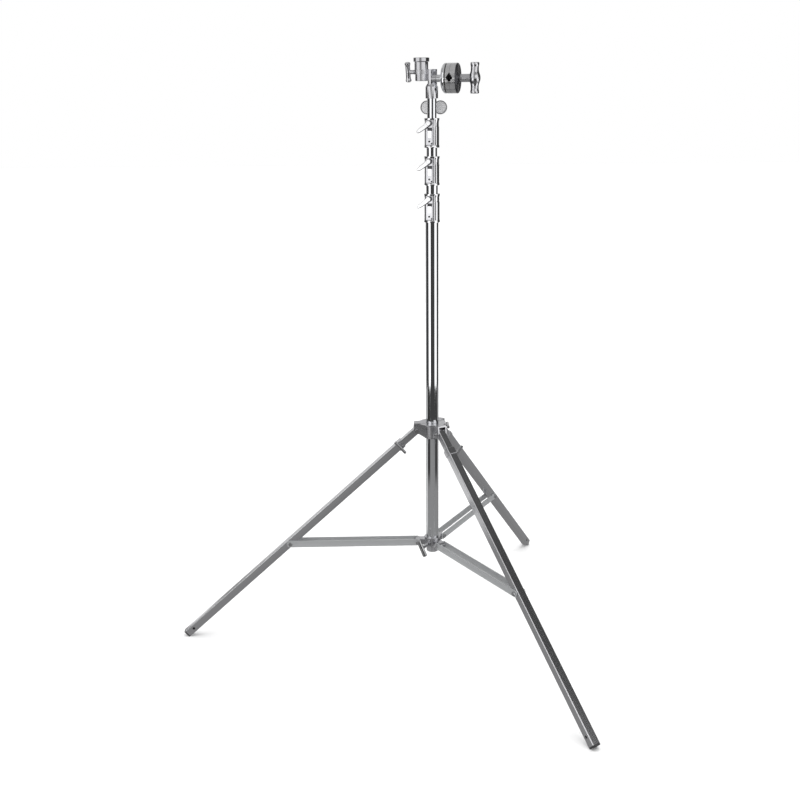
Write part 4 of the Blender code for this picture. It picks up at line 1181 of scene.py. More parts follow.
    def lever(self) -> None:
        """Model the leaf-shaped lever with its round root and its stud."""
        length, shift = self.lever_length, self.lever_shift
        stations = ((0.34, self.lever_waist), (0.58, self.lever_blade), (0.80, self.lever_blade * 0.88))
        edge = [(length * share, half) for share, half in stations]
        outline = [
            *arc((0.0, 0.0), self.lever_root, TURN * 0.8, TURN * 0.2, 20),
            *((x, shift + y) for x, y in edge),
            *arc((length - self.lever_tip, shift), self.lever_tip, TURN * 0.2, -TURN * 0.2, 10),
            *((x, shift - y) for x, y in reversed(edge)),
        ]
        lift, thick = self.lever_lift, self.lever_thick
        lever = Bench.plate(f"{self.prefix}_lever_fine", outline, lift, lift + thick)
        Bench.soften(lever, 0.0027, 60.0)
        stud = self.stud_d / 2.0
        root = self.lever_root - 0.0015
        stud_end = -(self.face - (self.guided_d / 2.0 + GAP + self.pad_length) - GAP)
        top = lift + thick
        profile = [
            (0.0, stud_end), (stud, stud_end), (stud, GAP), (root, GAP), (root, top + 0.0015),
            *arc((root - 0.0015, top + 0.0015), 0.0015, 0.0, TURN / 4.0, 5)[1:], (0.0, top + 0.003),
        ]
        Bench.join(lever, Bench.turned("stud", profile, 48))
        Bench.lay(lever, self.seat.facing() @ turn(TURN / 2.0 + self.droop))
        Fitting(f"{self.prefix}_lever", Finish.LEVER, (f"{self.prefix}_lever",)).fit(lever)
        out = self.seat.axis
        # The lever's sides and rounded edges are painted dark: painted shade.
        Finish.LEVER_EDGE.touch_up(lever, lambda face: abs(face.normal.dot(out)) < 0.85)

    def build(self) -> None:
        """Build the collar and its lever, and dress the pad."""
        self.sleeve()
        self.lever()
        Finish.RUBBER.dress(frame["nodes"][f"{self.prefix}_pad"])


@dataclass
class PinnedCasting(ABC):
    """A casting round the base tube: three arms, a pivot bolt across each, and a T-bolt in a boss.

    Half the width between a pivot bolt's hexagons is grip_half, and its hole is cut out to hole_half.
    """

    node: str
    body: str
    pivot: str
    pivot_bolt: str
    lock: str
    barrel_d: float
    grip_half: float
    hole_half: float
    bolt_d: float
    boss_d: float
    boss_reach: float
    edge: float
    bar_at: float
    stem_d: float
    bar_d: float
    bar_length: float
    bar_turn: float = 0.0
    tube_d: float = 0.050
    lock_d: float = 0.010

    @property
    def pivots(self) -> list[Vector]:
        """Places of the pivots in the arms."""
        return [JointSeat.named(self.pivot.format(name)).place for name in LEG_NAMES]

    @property
    def place(self) -> Matrix:
        """The casting's frame, level with the pivots."""
        return column_place(self.pivots[0].z)

    @property
    def reach(self) -> float:
        """Distance from the column's axis to a pivot."""
        return (self.pivots[0] - self.place.translation).length

    @abstractmethod
    def ring(self) -> bpy.types.Object:
        """Model the turned part round the tube."""

    @abstractmethod
    def arm(self) -> bpy.types.Object:
        """Model one arm, lying in XY with X outwards."""

    def slot(self) -> bpy.types.Object | None:
        """Model what is cut out of each arm; a plain arm has no slot."""
        return None

    def build(self) -> None:
        """Build the casting and every bolt in it."""
        place, centre = self.place, self.place.translation
        spokes = [turn(math.atan2(*reversed((pivot - centre).xy))) for pivot in self.pivots]
        bolts_at = [across @ move(x=self.reach) @ LAY_ALONG_Y for across in spokes]
        casting = self.ring()
        Bench.repeat(casting, self.arm(), [across @ STAND_UP for across in spokes], "UNION")
        seat = JointSeat.named(f"{self.lock}_turn").facing()
        lock = place.inverted() @ seat
        inside = (self.tube_d / 2.0 + GAP + self.barrel_d / 2.0) / 2.0
        boss = Bench.rod("lock_boss", self.boss_d / 2.0, inside, self.boss_reach)
        Bench.join(casting, Bench.lay(boss, lock))
        slot = self.slot()
        if slot is not None:
            Bench.repeat(casting, slot, spokes, "DIFFERENCE")
        hole = Bench.rod("pivot_hole", self.bolt_d / 2.0 + GAP, -self.hole_half, self.hole_half)
        Bench.repeat(casting, hole, bolts_at, "DIFFERENCE")
        hole = Bench.rod("lock_hole", self.lock_d / 2.0 + GAP, self.tube_d / 4.0, self.boss_reach + OVERCUT)
        Bench.cut(casting, Bench.lay(hole, lock))
        Bench.soften(casting, self.edge, 40.0)
        Bench.lay(casting, place)
        Fitting(self.body, Finish.CASTING, (self.node,)).fit(casting)

        bolt = TBolt(
            self.tube_d / 2.0 + GAP, self.boss_reach + GAP, self.bar_at, self.lock_d, self.stem_d,
            self.bar_d, self.bar_length, self.bar_turn,
        )
        Fitting(self.lock, Finish.SCREW, (self.lock,)).fit(bolt.build(f"{self.lock}_fine", seat))
        spots = [
            Spot(f"{self.pivot_bolt}_{name}", self.body, place @ at) for name, at in zip(LEG_NAMES, bolts_at)
        ]
        set_out(HexBolt(self.bolt_d).through(self.grip_half + GAP), Finish.SCREW, spots)


@dataclass
class Hub(PinnedCasting):
    """The sliding casting with its three forks, its pivot bolts and its lock bolt."""

    node: str = "hub"
    body: str = "hub"
    pivot: str = "leg_{}_fold"
    pivot_bolt: str = "hub_pivot_bolt"
    lock: str = "hub_lock_bolt"
    barrel_d: float = 0.068
    grip_half: float = 0.0193
    hole_half: float = 0.0293
    bolt_d: float = 0.010
    boss_d: float = 0.019
    boss_reach: float = 0.048
    edge: float = 0.0007
    bar_at: float = 0.062
    stem_d: float = 0.0105
    bar_d: float = 0.012
    bar_length: float = 0.060
    below: float = 0.030
    above: float = 0.0325
    plate_d: float = 0.107
    plate_thick: float = 0.0040
    plate_sunk: float = 0.0007
    fork: float = 0.0143
    arm_end: float = 0.0120
    arm_root: float = 0.027
    roof_end: float = 0.0715
    roof_thick: float = 0.0050
    slot_root: float = 0.0375

    def ring(self) -> bpy.types.Object:
        """Model the barrel and the round plate on it."""
        bore, barrel, plate = self.tube_d / 2.0 + GAP, self.barrel_d / 2.0, self.plate_d / 2.0
        roof = self.above - self.plate_sunk
        profile = [
            (bore, -self.below), (barrel - 0.002, -self.below), (barrel, -self.below + 0.002),
            (barrel, roof - self.plate_thick), (plate, roof - self.plate_thick), (plate, roof),
            (bore, roof),
        ]
        return Bench.turned("hub_fine", profile, 96)

    def arm(self) -> bpy.types.Object:
        """Model one solid arm, before its slot."""
        side = [
            (self.arm_root, -self.below + 0.001), (self.reach - 0.010, -self.arm_end),
            *arc((self.reach, 0.0), self.arm_end, -TURN * 0.22, 0.0, 10),
            (self.roof_end, self.above), (self.arm_root, self.above),
        ]
        return Bench.plate("arm", side, -self.grip_half, self.grip_half)

    def slot(self) -> bpy.types.Object:
        """Model the slot for a leg."""
        return Bench.block(
            "slot", (self.slot_root, -self.fork, -self.below - OVERCUT),
            (self.reach + self.arm_end + OVERCUT, self.fork, self.above - self.roof_thick),
        )


@dataclass
class Legs:
    """The three legs: the stub in the hub, the tube that slides on it, its T-bolt and its foot.

    Each piece is modelled once, in a leg's frame: X along its hinge, the foot towards -Z.
    """

    length: float = 1.305
    tube_w: float = 0.032
    wall: float = 0.0017
    corner: float = 0.003
    stub_w: float = 0.028
    stub_wall: float = 0.002
    stub_length: float = 0.460
    over_pivot: float = 0.012
    collar_at: float = 0.075
    collar_length: float = 0.028
    collar_w: float = 0.0355
    boss_d: float = 0.019
    boss_proud: float = 0.006
    pivot_d: float = 0.010
    bolt_d: float = 0.008
    pin_at: float = 0.705
    pin_drop: float = 0.003
    foot_hole_d: float = 0.011
    foot_hole_at: float = 0.041
    foot_lip: float = 0.005
    foot_spigot: float = 0.015

    @staticmethod
    def place(name: str) -> Matrix:
        """Return a leg's frame."""
        hinge = JointSeat.named(f"leg_{name}_fold")
        return frame_at(hinge.place, hinge.axis, -JointSeat.named(f"leg_{name}_level").axis)

    def stub(self) -> bpy.types.Object:
        """Model the inner square tube, with the hole of the pivot bolt."""
        piece = Bench.square_tube(
            "leg_stub", self.stub_w / 2.0, 0.0025, -self.stub_length, self.over_pivot, self.stub_wall
        )
        hole = Bench.rod("pivot_hole", self.pivot_d / 2.0 + GAP, -self.stub_w, self.stub_w)
        Bench.cut(piece, Bench.lay(hole, LAY_ALONG_X))
        Bench.soften(piece, 0.0003, 60.0)
        return piece

    def tube(self) -> bpy.types.Object:
        """Model the outer square tube and the collar that its T-bolt screws through."""
        half = self.tube_w / 2.0
        collar = self.collar_w / 2.0
        bolt_at = -self.collar_at - self.collar_length / 2.0
        low = -self.length + self.foot_lip + 2.0 * GAP
        piece = Bench.square_tube("leg_tube", half, self.corner, low, -self.collar_at, self.wall)
        sleeve = Bench.square_tube(
            "sleeve", collar, self.corner, -self.collar_at - self.collar_length, -self.collar_at,
            collar - half + self.wall * 0.5,
        )
        Bench.soften(sleeve, 0.0008, 60.0)
        Bench.join(piece, sleeve)
        boss = Bench.rod("boss", self.boss_d / 2.0, (half + collar) / 2.0, collar + self.boss_proud)
        Bench.soften(boss, 0.0008)
        bolt_place = move(z=bolt_at) @ LAY_ALONG_X
        Bench.join(piece, Bench.lay(boss, bolt_place))
        holes = (
            (self.bolt_d / 2.0 + GAP, half * 0.5, collar + 0.02, bolt_place),
            (self.foot_hole_d / 2.0, -self.tube_w, self.tube_w,
             move(z=-self.length + self.foot_hole_at) @ LAY_ALONG_X),
            (self.bolt_d / 2.0, -self.tube_w, self.tube_w,
             move(y=self.pin_drop, z=-self.pin_at) @ LAY_ALONG_X),
        )
        for radius, start, end, place in holes:
            Bench.cut(piece, Bench.lay(Bench.rod("hole", radius, start, end), place))
        Bench.soften(piece, 0.0003, 60.0)
        return piece

    def t_bolt(self) -> bpy.types.Object:
        """Model the T-bolt that locks the tube on the stub."""
        shoulder = self.collar_w / 2.0 + self.boss_proud + GAP
        bolt = TBolt(
            self.stub_w / 2.0 + GAP, shoulder, bar_at=0.041, shank_d=self.bolt_d, stem_d=0.010, bar_d=0.012,
            bar_length=0.063, bar_turn=TURN / 4.0,
        )
        return bolt.build("leg_bolt", move(z=-self.collar_at - self.collar_length / 2.0) @ LAY_ALONG_X)

    def foot(self) -> bpy.types.Object:
        """Model the rubber plug, cut flat where it stands on the floor."""
        half = self.tube_w / 2.0
        plug = Bench.square_tube("foot_plug", half, self.corner, -self.length, -self.length + self.foot_lip)
        Bench.soften(plug, 0.0006, 60.0)
        spigot = Bench.square_tube(
            "spigot", half - self.wall - GAP, self.corner * 0.5, -self.length + self.foot_lip - 0.001,
            -self.length + self.foot_lip + self.foot_spigot,
        )
        Bench.join(plug, spigot)
        level = self.place(LEG_NAMES[0]).inverted()
        Bench.take(plug)
        bpy.ops.object.mode_set(mode="EDIT")
        bpy.ops.mesh.select_all(action="SELECT")
        bpy.ops.mesh.bisect(plane_co=level.translation, plane_no=level.to_3x3() @ -UP, use_fill=True,
                            clear_outer=True, threshold=1e-6)
        return Bench.close(plug)

    def build(self) -> None:
        """Build every piece of the three legs."""
        models = (
            ("leg_stub", "leg", Finish.LEG_STEEL, self.stub()),
            ("leg_tube", "leg_tube", Finish.LEG_STEEL, self.tube()),
            ("leg_bolt", "leg_bolt", Finish.LEG_SCREW, self.t_bolt()),
            ("foot_plug", "leg_tube", Finish.RUBBER, self.foot()),
        )
        for node, body, finish, model in models:
            spots = [Spot(f"{node}_{name}", f"{body}_{name}", self.place(name)) for name in LEG_NAMES]
            set_out(model, finish, spots)


@dataclass
class Braces:
    """The three braces: two flat bars each, and the halves of the bolt that pins them to the leg.

    Each piece is modelled once, in a brace's frame: X along its pivot, Z towards the leg.
    """

    width: float = 0.0275
    thick: float = 0.004
    inner: float = 0.0165
    bolt_d: float = 0.008

    @staticmethod
    def pin(name: str) -> Vector:
        """Return the way from a brace's pivot to its bolt at the leg."""
        pivot, (low, high) = JointSeat.named(f"brace_{name}_fold"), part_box(f"brace_bolt_{name}")
        pin = (low + high) / 2.0 - pivot.place
        return pin - pivot.axis * pin.dot(pivot.axis)

    def place(self, name: str) -> Matrix:
        """Return a brace's frame."""
        pivot = JointSeat.named(f"brace_{name}_fold")
        return frame_at(pivot.place, -pivot.axis, self.pin(name))

    def bar(self, length: float) -> bpy.types.Object:
        """Model one bar with its round ends and its holes.

        Args:
            length: The distance between the holes.

        Returns:
            The bar, with its inner side on the plane x = 0.
        """
        half = self.width / 2.0
        outline = [
            *arc((0.0, 0.0), half, TURN / 2.0, TURN, 24), *arc((0.0, length), half, 0.0, TURN / 2.0, 24)
        ]
        bar = Bench.plate("brace_bar", outline, 0.0, self.thick)
        Bench.soften(bar, 0.0007, 60.0)
        Bench.lay(bar, Matrix(((0, 0, 1, 0), (1, 0, 0, 0), (0, 1, 0, 0), (0, 0, 0, 1))))
        hole = Bench.rod("bolt_hole", self.bolt_d / 2.0 + GAP, -OVERCUT, self.thick + OVERCUT)
        Bench.repeat(bar, hole, [move(z=z) @ LAY_ALONG_X for z in (0.0, length)], "DIFFERENCE")
        return bar

    def build(self) -> None:
        """Build the bars, the bolt heads and the nuts of the three braces."""
        length = self.pin(LEG_NAMES[0]).length
        outer, end = self.inner + self.thick, move(z=length)
        bars = [
            Spot(f"brace_bar_{name}{number}", f"brace_{name}", self.place(name) @ move(x=side))
            for name in LEG_NAMES for number, side in ((1, self.inner), (2, -outer))
        ]
        set_out(self.bar(length), Finish.BAR_STEEL, bars)
        bolt = HexBolt(self.bolt_d)
        halves = (
            ("brace_bolt", bolt.half(self.inner, outer + GAP, bolt.head, 0.0), LAY_ALONG_X),
            ("brace_nut", bolt.half(self.inner, outer + GAP, bolt.nut, bolt.thread_end),
             turn(TURN / 2.0) @ LAY_ALONG_X),
        )
        for node, model, outwards in halves:
            spots = [
                Spot(f"{node}_{name}", f"brace_{name}", self.place(name) @ end @ outwards)
                for name in LEG_NAMES
            ]
            set_out(model, Finish.SCREW, spots)


@dataclass
class LowerCollar(PinnedCasting):
    """The fixed casting at the column's lower end, with its lugs and bolts."""

    node: str = "lower_collar"
    body: str = "base"
    pivot: str = "brace_{}_fold"
    pivot_bolt: str = "lower_pivot_bolt"
    lock: str = "lower_collar_bolt"
    barrel_d: float = 0.066
    grip_half: float = 0.0205
    hole_half: float = 0.03
    bolt_d: float = 0.008
    boss_d: float = 0.020
    boss_reach: float = 0.046
    edge: float = 0.0006
    bar_at: float = 0.094
    stem_d: float = 0.014
    bar_d: float = 0.018
    bar_length: float = 0.070
    bar_turn: float = math.radians(-64.0)
    below: float = 0.0150
    above: float = 0.0205
    ring_round: float = 0.0015
    lug_r: float = 0.0120
    lug_root: float = 0.0275
    lug_half: float = 0.0162

    def ring(self) -> bpy.types.Object:
        """Model the barrel, with rounded rims."""
        bore, barrel = self.tube_d / 2.0 + GAP, self.barrel_d / 2.0
        profile = [(bore, -self.below), (barrel, -self.below), (barrel, self.above), (bore, self.above)]
        collar = Bench.turned("lower_collar_fine", profile, 96)
        Bench.soften(collar, self.ring_round)
        return collar

    def arm(self) -> bpy.types.Object:
        """Model one lug."""
        side = [
            (self.lug_root, -self.lug_r), *arc((self.reach, 0.0), self.lug_r, -TURN / 4.0, TURN / 4.0, 20),
            (self.lug_root, self.lug_r),
        ]
        return Bench.plate("lug", side, -self.lug_half, self.lug_half)


@dataclass
class Head:
    """Head body, receiver cup with its T-bolt, and the wing screw under them."""

    pin_d: float = 0.0282
    pin_length: float = 0.074
    base_d: float = 0.047
    base_height: float = 0.040
    taper: float = 0.012
    spine: tuple[float, float] = (-0.015, 0.0185)
    spine_depth: float = 0.030
    spine_round: tuple[float, float] = (0.0145, 0.0085)
    spine_flat: float = 0.0005
    spine_top: float = 0.1035
    grip_boss_d: float = 0.0286
    ring_d: float = 0.055
    ring: tuple[float, float] = (0.086, 0.102)
    cup_at: float = -0.0390
    cup_lower_d: float = 0.046
    cup_body_d: float = 0.051
    cup_rim_d: float = 0.059
    cup_bottom: float = 0.062
    cup_rim: float = 0.013
    cup_top: float = 0.1445
    cup_bore: float = 0.0288
    bolt_d: float = 0.010
    tenon_d: float = 0.018
    tenon: float = 0.0145
    grip_height: float = 0.0709
    ear_r: float = 0.0252
    ear_offset: float = 0.0251
    ear_plate: float = 0.040
    ear_thick: float = 0.0055
    ear_rim: float = 0.0040
    ear_dish: float = 0.0012
    ear_stem_d: float = 0.015
    ear_boss_reach: float = 0.027

    @property
    def place(self) -> Matrix:
        """The head's frame, at the rim of riser 3."""
        return column_place(JointSeat.named("head_swivel").place.z)

    @property
    def towards_bolt(self) -> Matrix:
        """Frame in the head's own, with Z out along the receiver's T-bolt."""
        level = (self.ring[0] + self.ring[1]) / 2.0
        return move(x=self.cup_at, z=level) @ Matrix.Rotation(-TURN / 4.0, 4, "Y")

    def body(self) -> None:
        """Model the head's casting with its pin, spine and ring."""
        pin, base, high = self.pin_d / 2.0, self.base_d / 2.0, self.base_height
        profile = [
            (0.0, -self.pin_length), (pin - 0.002, -self.pin_length), (pin, -self.pin_length + 0.002),
            (pin, GAP), (base, GAP),
            *flowing([(base, high), (base - self.taper / 2.0, high + self.taper)], 6),
            (0.0, high + self.taper),
        ]
        body = Bench.turned("head_body_fine", profile, 96)
        low, far = self.spine
        deep, (near, edge) = self.spine_depth / 2.0, self.spine_round
        outline = [
            *arc((low + near, -deep + near), near, -TURN / 2.0, -TURN / 4.0, 16), (self.spine_flat, -deep),
            *arc((far - edge, deep - edge), edge, 0.0, TURN / 4.0, 14),
            *arc((low + near, deep - near), near, TURN / 4.0, TURN / 2.0, 16),
        ]
        Bench.join(body, Bench.plate("spine", outline, high * 0.5, self.spine_top))
        boss = Bench.rod("grip_boss", self.grip_boss_d / 2.0, 0.0, far, 64)
        Bench.join(body, Bench.lay(boss, move(z=self.grip_height) @ LAY_ALONG_X))
        ring = Bench.rod("ring", self.ring_d / 2.0, *self.ring, 96)
        Bench.join(body, Bench.lay(ring, move(x=self.cup_at)))
        lower, wide = self.cup_lower_d / 2.0 + GAP, self.cup_body_d / 2.0 + GAP
        under, over = self.cup_bottom - 0.001, self.spine_top + OVERCUT
        seat = [
            (0.0, under), (lower, under), (lower, self.ring[1]),
            (wide, self.ring[1]), (wide, over), (0.0, over),
        ]
        Bench.cut(body, Bench.lay(Bench.turned("cup_seat", seat, 96), move(x=self.cup_at)))
        hole = Bench.rod("bolt_hole", self.bolt_d / 2.0 + GAP, 0.0, self.ring_d)
        Bench.cut(body, Bench.lay(hole, self.towards_bolt))
        tenon = Bench.rod("tenon_hole", self.tenon_d / 2.0 + GAP, far - self.tenon - GAP, far + OVERCUT)
        Bench.cut(body, Bench.lay(tenon, move(z=self.grip_height) @ LAY_ALONG_X))
        Bench.soften(body, 0.0007, 40.0)
        Bench.lay(body, self.place)
        Fitting("head", Finish.HEAD_CAST, ("head_body",)).fit(body)
        back = self.place.inverted()

        def in_ring(face: bpy.types.MeshPolygon) -> bool:
            """Tell whether a face of the mesh belongs to the ring round the cup."""
            spot = back @ face.center
            return spot.x < low and self.ring[0] - NEAR < spot.z < self.ring[1] + NEAR

        Finish.CASTING.touch_up(body, in_ring)

    def cup(self) -> None:
        """Model the turned receiver cup and its T-bolt."""
        bore, lower = self.cup_bore / 2.0, self.cup_lower_d / 2.0
        wide, rim, top = self.cup_body_d / 2.0, self.cup_rim_d / 2.0, self.cup_top
        edge = 0.0015
        under = top - self.cup_rim
        shoulder = self.ring[1] + GAP
        profile = [
            (bore, self.cup_bottom), (lower - edge, self.cup_bottom), (lower, self.cup_bottom + edge),
            (lower, shoulder), (wide, shoulder), *flowing([(wide, under - 0.003), (rim, under)], 5),
            (rim, top - edge), *arc((rim - edge, top - edge), edge, 0.0, TURN / 4.0, 5)[1:],
            (bore + edge, top), (bore, top - edge),
        ]
        cup = Bench.turned("receiver_cup_fine", profile, 96)
        hole = Bench.rod("bolt_hole", self.bolt_d / 2.0 + GAP, bore * 0.5, self.cup_rim_d)
        Bench.cut(cup, Bench.lay(hole, move(x=-self.cup_at) @ self.towards_bolt))
        Bench.soften(cup, 0.0004, 40.0)
        cup_place = self.place @ move(x=self.cup_at)
        Bench.lay(cup, cup_place)
        Fitting("head", Finish.CUP, ("receiver_cup",)).fit(cup, cup_place)
        bolt = TBolt(
            bore + GAP, self.ring_d / 2.0 + GAP, bar_at=0.0505, shank_d=self.bolt_d, stem_d=0.015,
            bar_d=0.0175, bar_length=0.071, bar_turn=math.radians(-15.0), flare_d=0.0215,
        )
        piece = bolt.build("receiver_bolt_fine", self.place @ self.towards_bolt)
        Fitting("receiver_bolt", Finish.HANDLE, ("receiver_bolt",)).fit(piece)

    def wing_screw(self) -> None:
        """Model the screw behind the column, with two round ears that have raised rims."""
        seat = JointSeat.named("top_wing_screw_turn")
        shank, stem = self.bolt_d / 2.0, self.ear_stem_d / 2.0
        start, shoulder = self.pin_d / 2.0 + GAP, self.ear_boss_reach + GAP
        low, high = self.ear_plate, self.ear_plate + self.ear_thick
        profile = [
            (0.0, start), (shank, start), (shank, shoulder), (stem, shoulder), (stem, high + 0.0003),
            (stem - 0.0008, high + 0.001), (0.0, high + 0.001),
        ]
        screw = Bench.turned("top_wing_screw_fine", profile, 48)
        bridge = math.asin(stem * 0.9 / self.ear_r)
        right = arc((self.ear_offset, 0.0), self.ear_r, bridge - TURN / 2.0, TURN / 2.0 - bridge, 44)
        plate = Bench.plate("ears", [*right, *((-x, -y) for x, y in right)], low, high)
        dish = Bench.rod("dish", self.ear_r - self.ear_rim, 0.0, self.ear_dish + 0.001)
        dishes = [
            move(x=side * self.ear_offset, z=face)
            for side in (-1.0, 1.0) for face in (low - 0.001, high - self.ear_dish)
        ]
        Bench.repeat(plate, dish, dishes, "DIFFERENCE")
        Bench.join(screw, plate)
        Bench.soften(screw, 0.0005, 50.0)
        Bench.lay(screw, seat.facing())
        Fitting("top_wing_screw", Finish.EARS, ("top_wing_screw",)).fit(screw)
        back = seat.facing().inverted()

        def on_rim(face: bpy.types.MeshPolygon) -> bool:
            """Tell whether a face of the mesh is on an ear's raised rim, or round its edge, where shade is
            painted.
            """
            spot = back @ face.center
            away = (spot.xy - Vector((math.copysign(self.ear_offset, spot.x), 0.0))).length
            return min(abs(spot.z - low), abs(spot.z - high)) < 4e-4 or away > self.ear_r - 8e-4

        # The ears' rims and outer edges are painted dark: painted shade.
        Finish.EAR_RIM.touch_up(screw, on_rim)

    def build(self) -> None:
        """Build every piece of the head."""
        self.body()
        self.cup()
        self.wing_screw()


@dataclass
class GripHead:
    """The grip head: domed base, friction washer, two jaws and the T-handle."""

    outer_d: float = 0.108
    stub_d: float = 0.0266
    dome_at: float = 0.0362
    face_at: float = 0.0566
    rim: float = 0.0040
    shoulder: float = 0.0185
    tenon_d: float = 0.018
    tenon: float = 0.0145
    bore: float = 0.0133
    washer_d: float = 0.101
    washer: float = 0.002
    jaws: tuple[float, float] = (0.0165, 0.0255)
    edge: float = 0.0015
    outer_round: float = 0.005
    groove_tilt: float = math.radians(30.6)
    groove_offset: float = 0.028
    groove_across: float = 0.030
    groove_along: float = 0.026
    boss_d: float = 0.040
    boss: float = 0.0035
    face_rings: int = 6
    ring_depth: float = 0.0008
    stud_d: float = 0.0127
    stem_d: float = 0.029
    bar_out: float = 0.0555
    bar_length: float = 0.110
    neck_d: float = 0.0295
    end_d: float = 0.0325
    end_round: float = 0.003
    bulge_d: float = 0.0420

    @property
    def place(self) -> Matrix:
        """Frame on the grip's axis: Z along +X, starting at the column's axis."""
        seat = JointSeat.named("grip_turn").place
        return move(column_place().translation.x, seat.y, seat.z) @ LAY_ALONG_X

    @property
    def washer_low(self) -> float:
        """Where the washer starts."""
        return self.face_at + GAP

    @property
    def jaw_low(self) -> float:
        """Where the inner jaw starts."""
        return self.washer_low + self.washer + GAP

    @property
    def split(self) -> float:
        """The plane between the jaws."""
        return self.jaw_low + self.jaws[0] + GAP / 2.0

    @property
    def face(self) -> float:
        """The outer jaw's outer face."""
        return self.split + GAP / 2.0 + self.jaws[1]

    def base(self) -> None:
        """Model the tenon, the stub and the domed back."""
        bore, outer = self.bore / 2.0, self.outer_d / 2.0
        stub, tenon = self.stub_d / 2.0, self.tenon_d / 2.0
        depth = self.face_at - self.rim - self.dome_at
        angles = [TURN / 4.0 * step / 18.0 for step in range(19)]
        dome = [
            (stub + (outer - stub) * math.sin(a), self.dome_at + depth * (1.0 - math.cos(a))) for a in angles
        ]
        start = self.shoulder - self.tenon
        profile = [
            (bore, start), (tenon, start), (tenon, self.shoulder + GAP), (stub, self.shoulder + GAP),
            *dome, (outer, self.face_at), (bore, self.face_at),
        ]
        base = Bench.turned("grip_base_fine", profile, 120)
        Bench.soften(base, 0.0005, 50.0)
        Bench.lay(base, self.place)
        Fitting("head", Finish.CHROME, ("grip_base",)).fit(base, self.place)

    def friction_washer(self) -> None:
        """Model the fibre washer that shows as a dark line."""
        low, radius = self.washer_low, self.washer_d / 2.0
        profile = [
            (self.bore / 2.0, low), (radius - 0.0003, low), (radius, low + 0.0003),
            (radius, low + self.washer - 0.0003), (radius - 0.0003, low + self.washer),
            (self.bore / 2.0, low + self.washer),
        ]
        washer = Bench.lay(Bench.turned("grip_washer_fine", profile, 120), self.place)
        Fitting("grip_inner", Finish.FIBRE, ("grip_washer",)).fit(washer, self.place)

    def groove(self) -> bpy.types.Object:
        """Model the diamond bar that cuts the groove across both jaws.

        Returns:
            The bar, in the grip's frame.
        """
        across, along = self.groove_across / 2.0, self.groove_along / 2.0
        diamond = [(0.0, -along), (across, 0.0), (0.0, along), (-across, 0.0)]
        reach = self.outer_d / 2.0 + OVERCUT
        bar = Bench.plate("groove", diamond, -reach, reach)
        chord = turn(self.groove_tilt) @ move(x=-self.groove_offset, z=self.split) @ STAND_UP
        return Bench.lay(bar, chord)

    def inner_jaw(self) -> None:
        """Model the inner jaw."""
        bore, outer = self.bore / 2.0, self.outer_d / 2.0
        high = self.split - GAP / 2.0
        profile = [
            (bore, self.jaw_low), (outer - self.edge, self.jaw_low), (outer, self.jaw_low + self.edge),
            (outer, high), (bore, high),
        ]
        jaw = Bench.turned("grip_jaw_inner_fine", profile, 120)
        Bench.cut(jaw, self.groove())
        Bench.soften(jaw, 0.0004, 40.0)
        Bench.lay(jaw, self.place)
        # The jaw is first painted dark all over as shade; its round side then gets the steel's own tone.
        Fitting("grip_inner", Finish.DARK_JAW, ("grip_jaw_inner",)).fit(jaw, self.place)
        self.brighten_side(jaw)

    def outer_jaw(self) -> None:
        """Model the outer jaw, with turned rings and a boss on its face, which is painted dark as shade."""
        bore, outer, boss = self.bore / 2.0, self.outer_d / 2.0, self.boss_d / 2.0
        face, low = self.face, self.split + GAP / 2.0
        corner, floor = self.outer_round, face - self.ring_depth
        pitch = (outer - corner - boss) / (self.face_rings + 0.5)
        rings = []
        for index in range(self.face_rings):
            at = outer - corner - pitch * (index + 0.5)
            steps = ((0.0, face), (0.15, floor), (0.45, floor), (0.6, face))
            rings += [(at - pitch * share, height) for share, height in steps]
        profile = [
            (bore, low), (outer, low),
            *arc((outer - corner, face - corner), corner, 0.0, TURN / 4.0, 10), *rings,
            (boss, face), (boss - 0.001, face + self.boss), (bore, face + self.boss),
        ]
        jaw = Bench.turned("grip_jaw_outer_fine", profile, 120)
        Bench.cut(jaw, self.groove())
        Bench.soften(jaw, 0.0003, 50.0)
        Bench.lay(jaw, self.place)
        # The jaw is first painted dark all over as shade; its round side then gets the steel's own tone.
        Fitting("grip_outer", Finish.DARK_JAW, ("grip_jaw_outer",)).fit(jaw, self.place)
        self.brighten_side(jaw)

    def brighten_side(self, jaw: bpy.types.Object) -> None:
        """Give a jaw's round side the lighter steel, and leave the painted shade on its face and in its
        groove.
        """
        back = self.place.inverted()
        nearly = self.outer_d / 2.0 - self.edge
        face_at = self.face - self.outer_round

        def on_side(face: bpy.types.MeshPolygon) -> bool:
            """Tell whether a face of the mesh is on the round side."""
            spot = back @ face.center
            return spot.xy.length > nearly and spot.z < face_at

        Finish.JAW.touch_up(jaw, on_side, self.place)

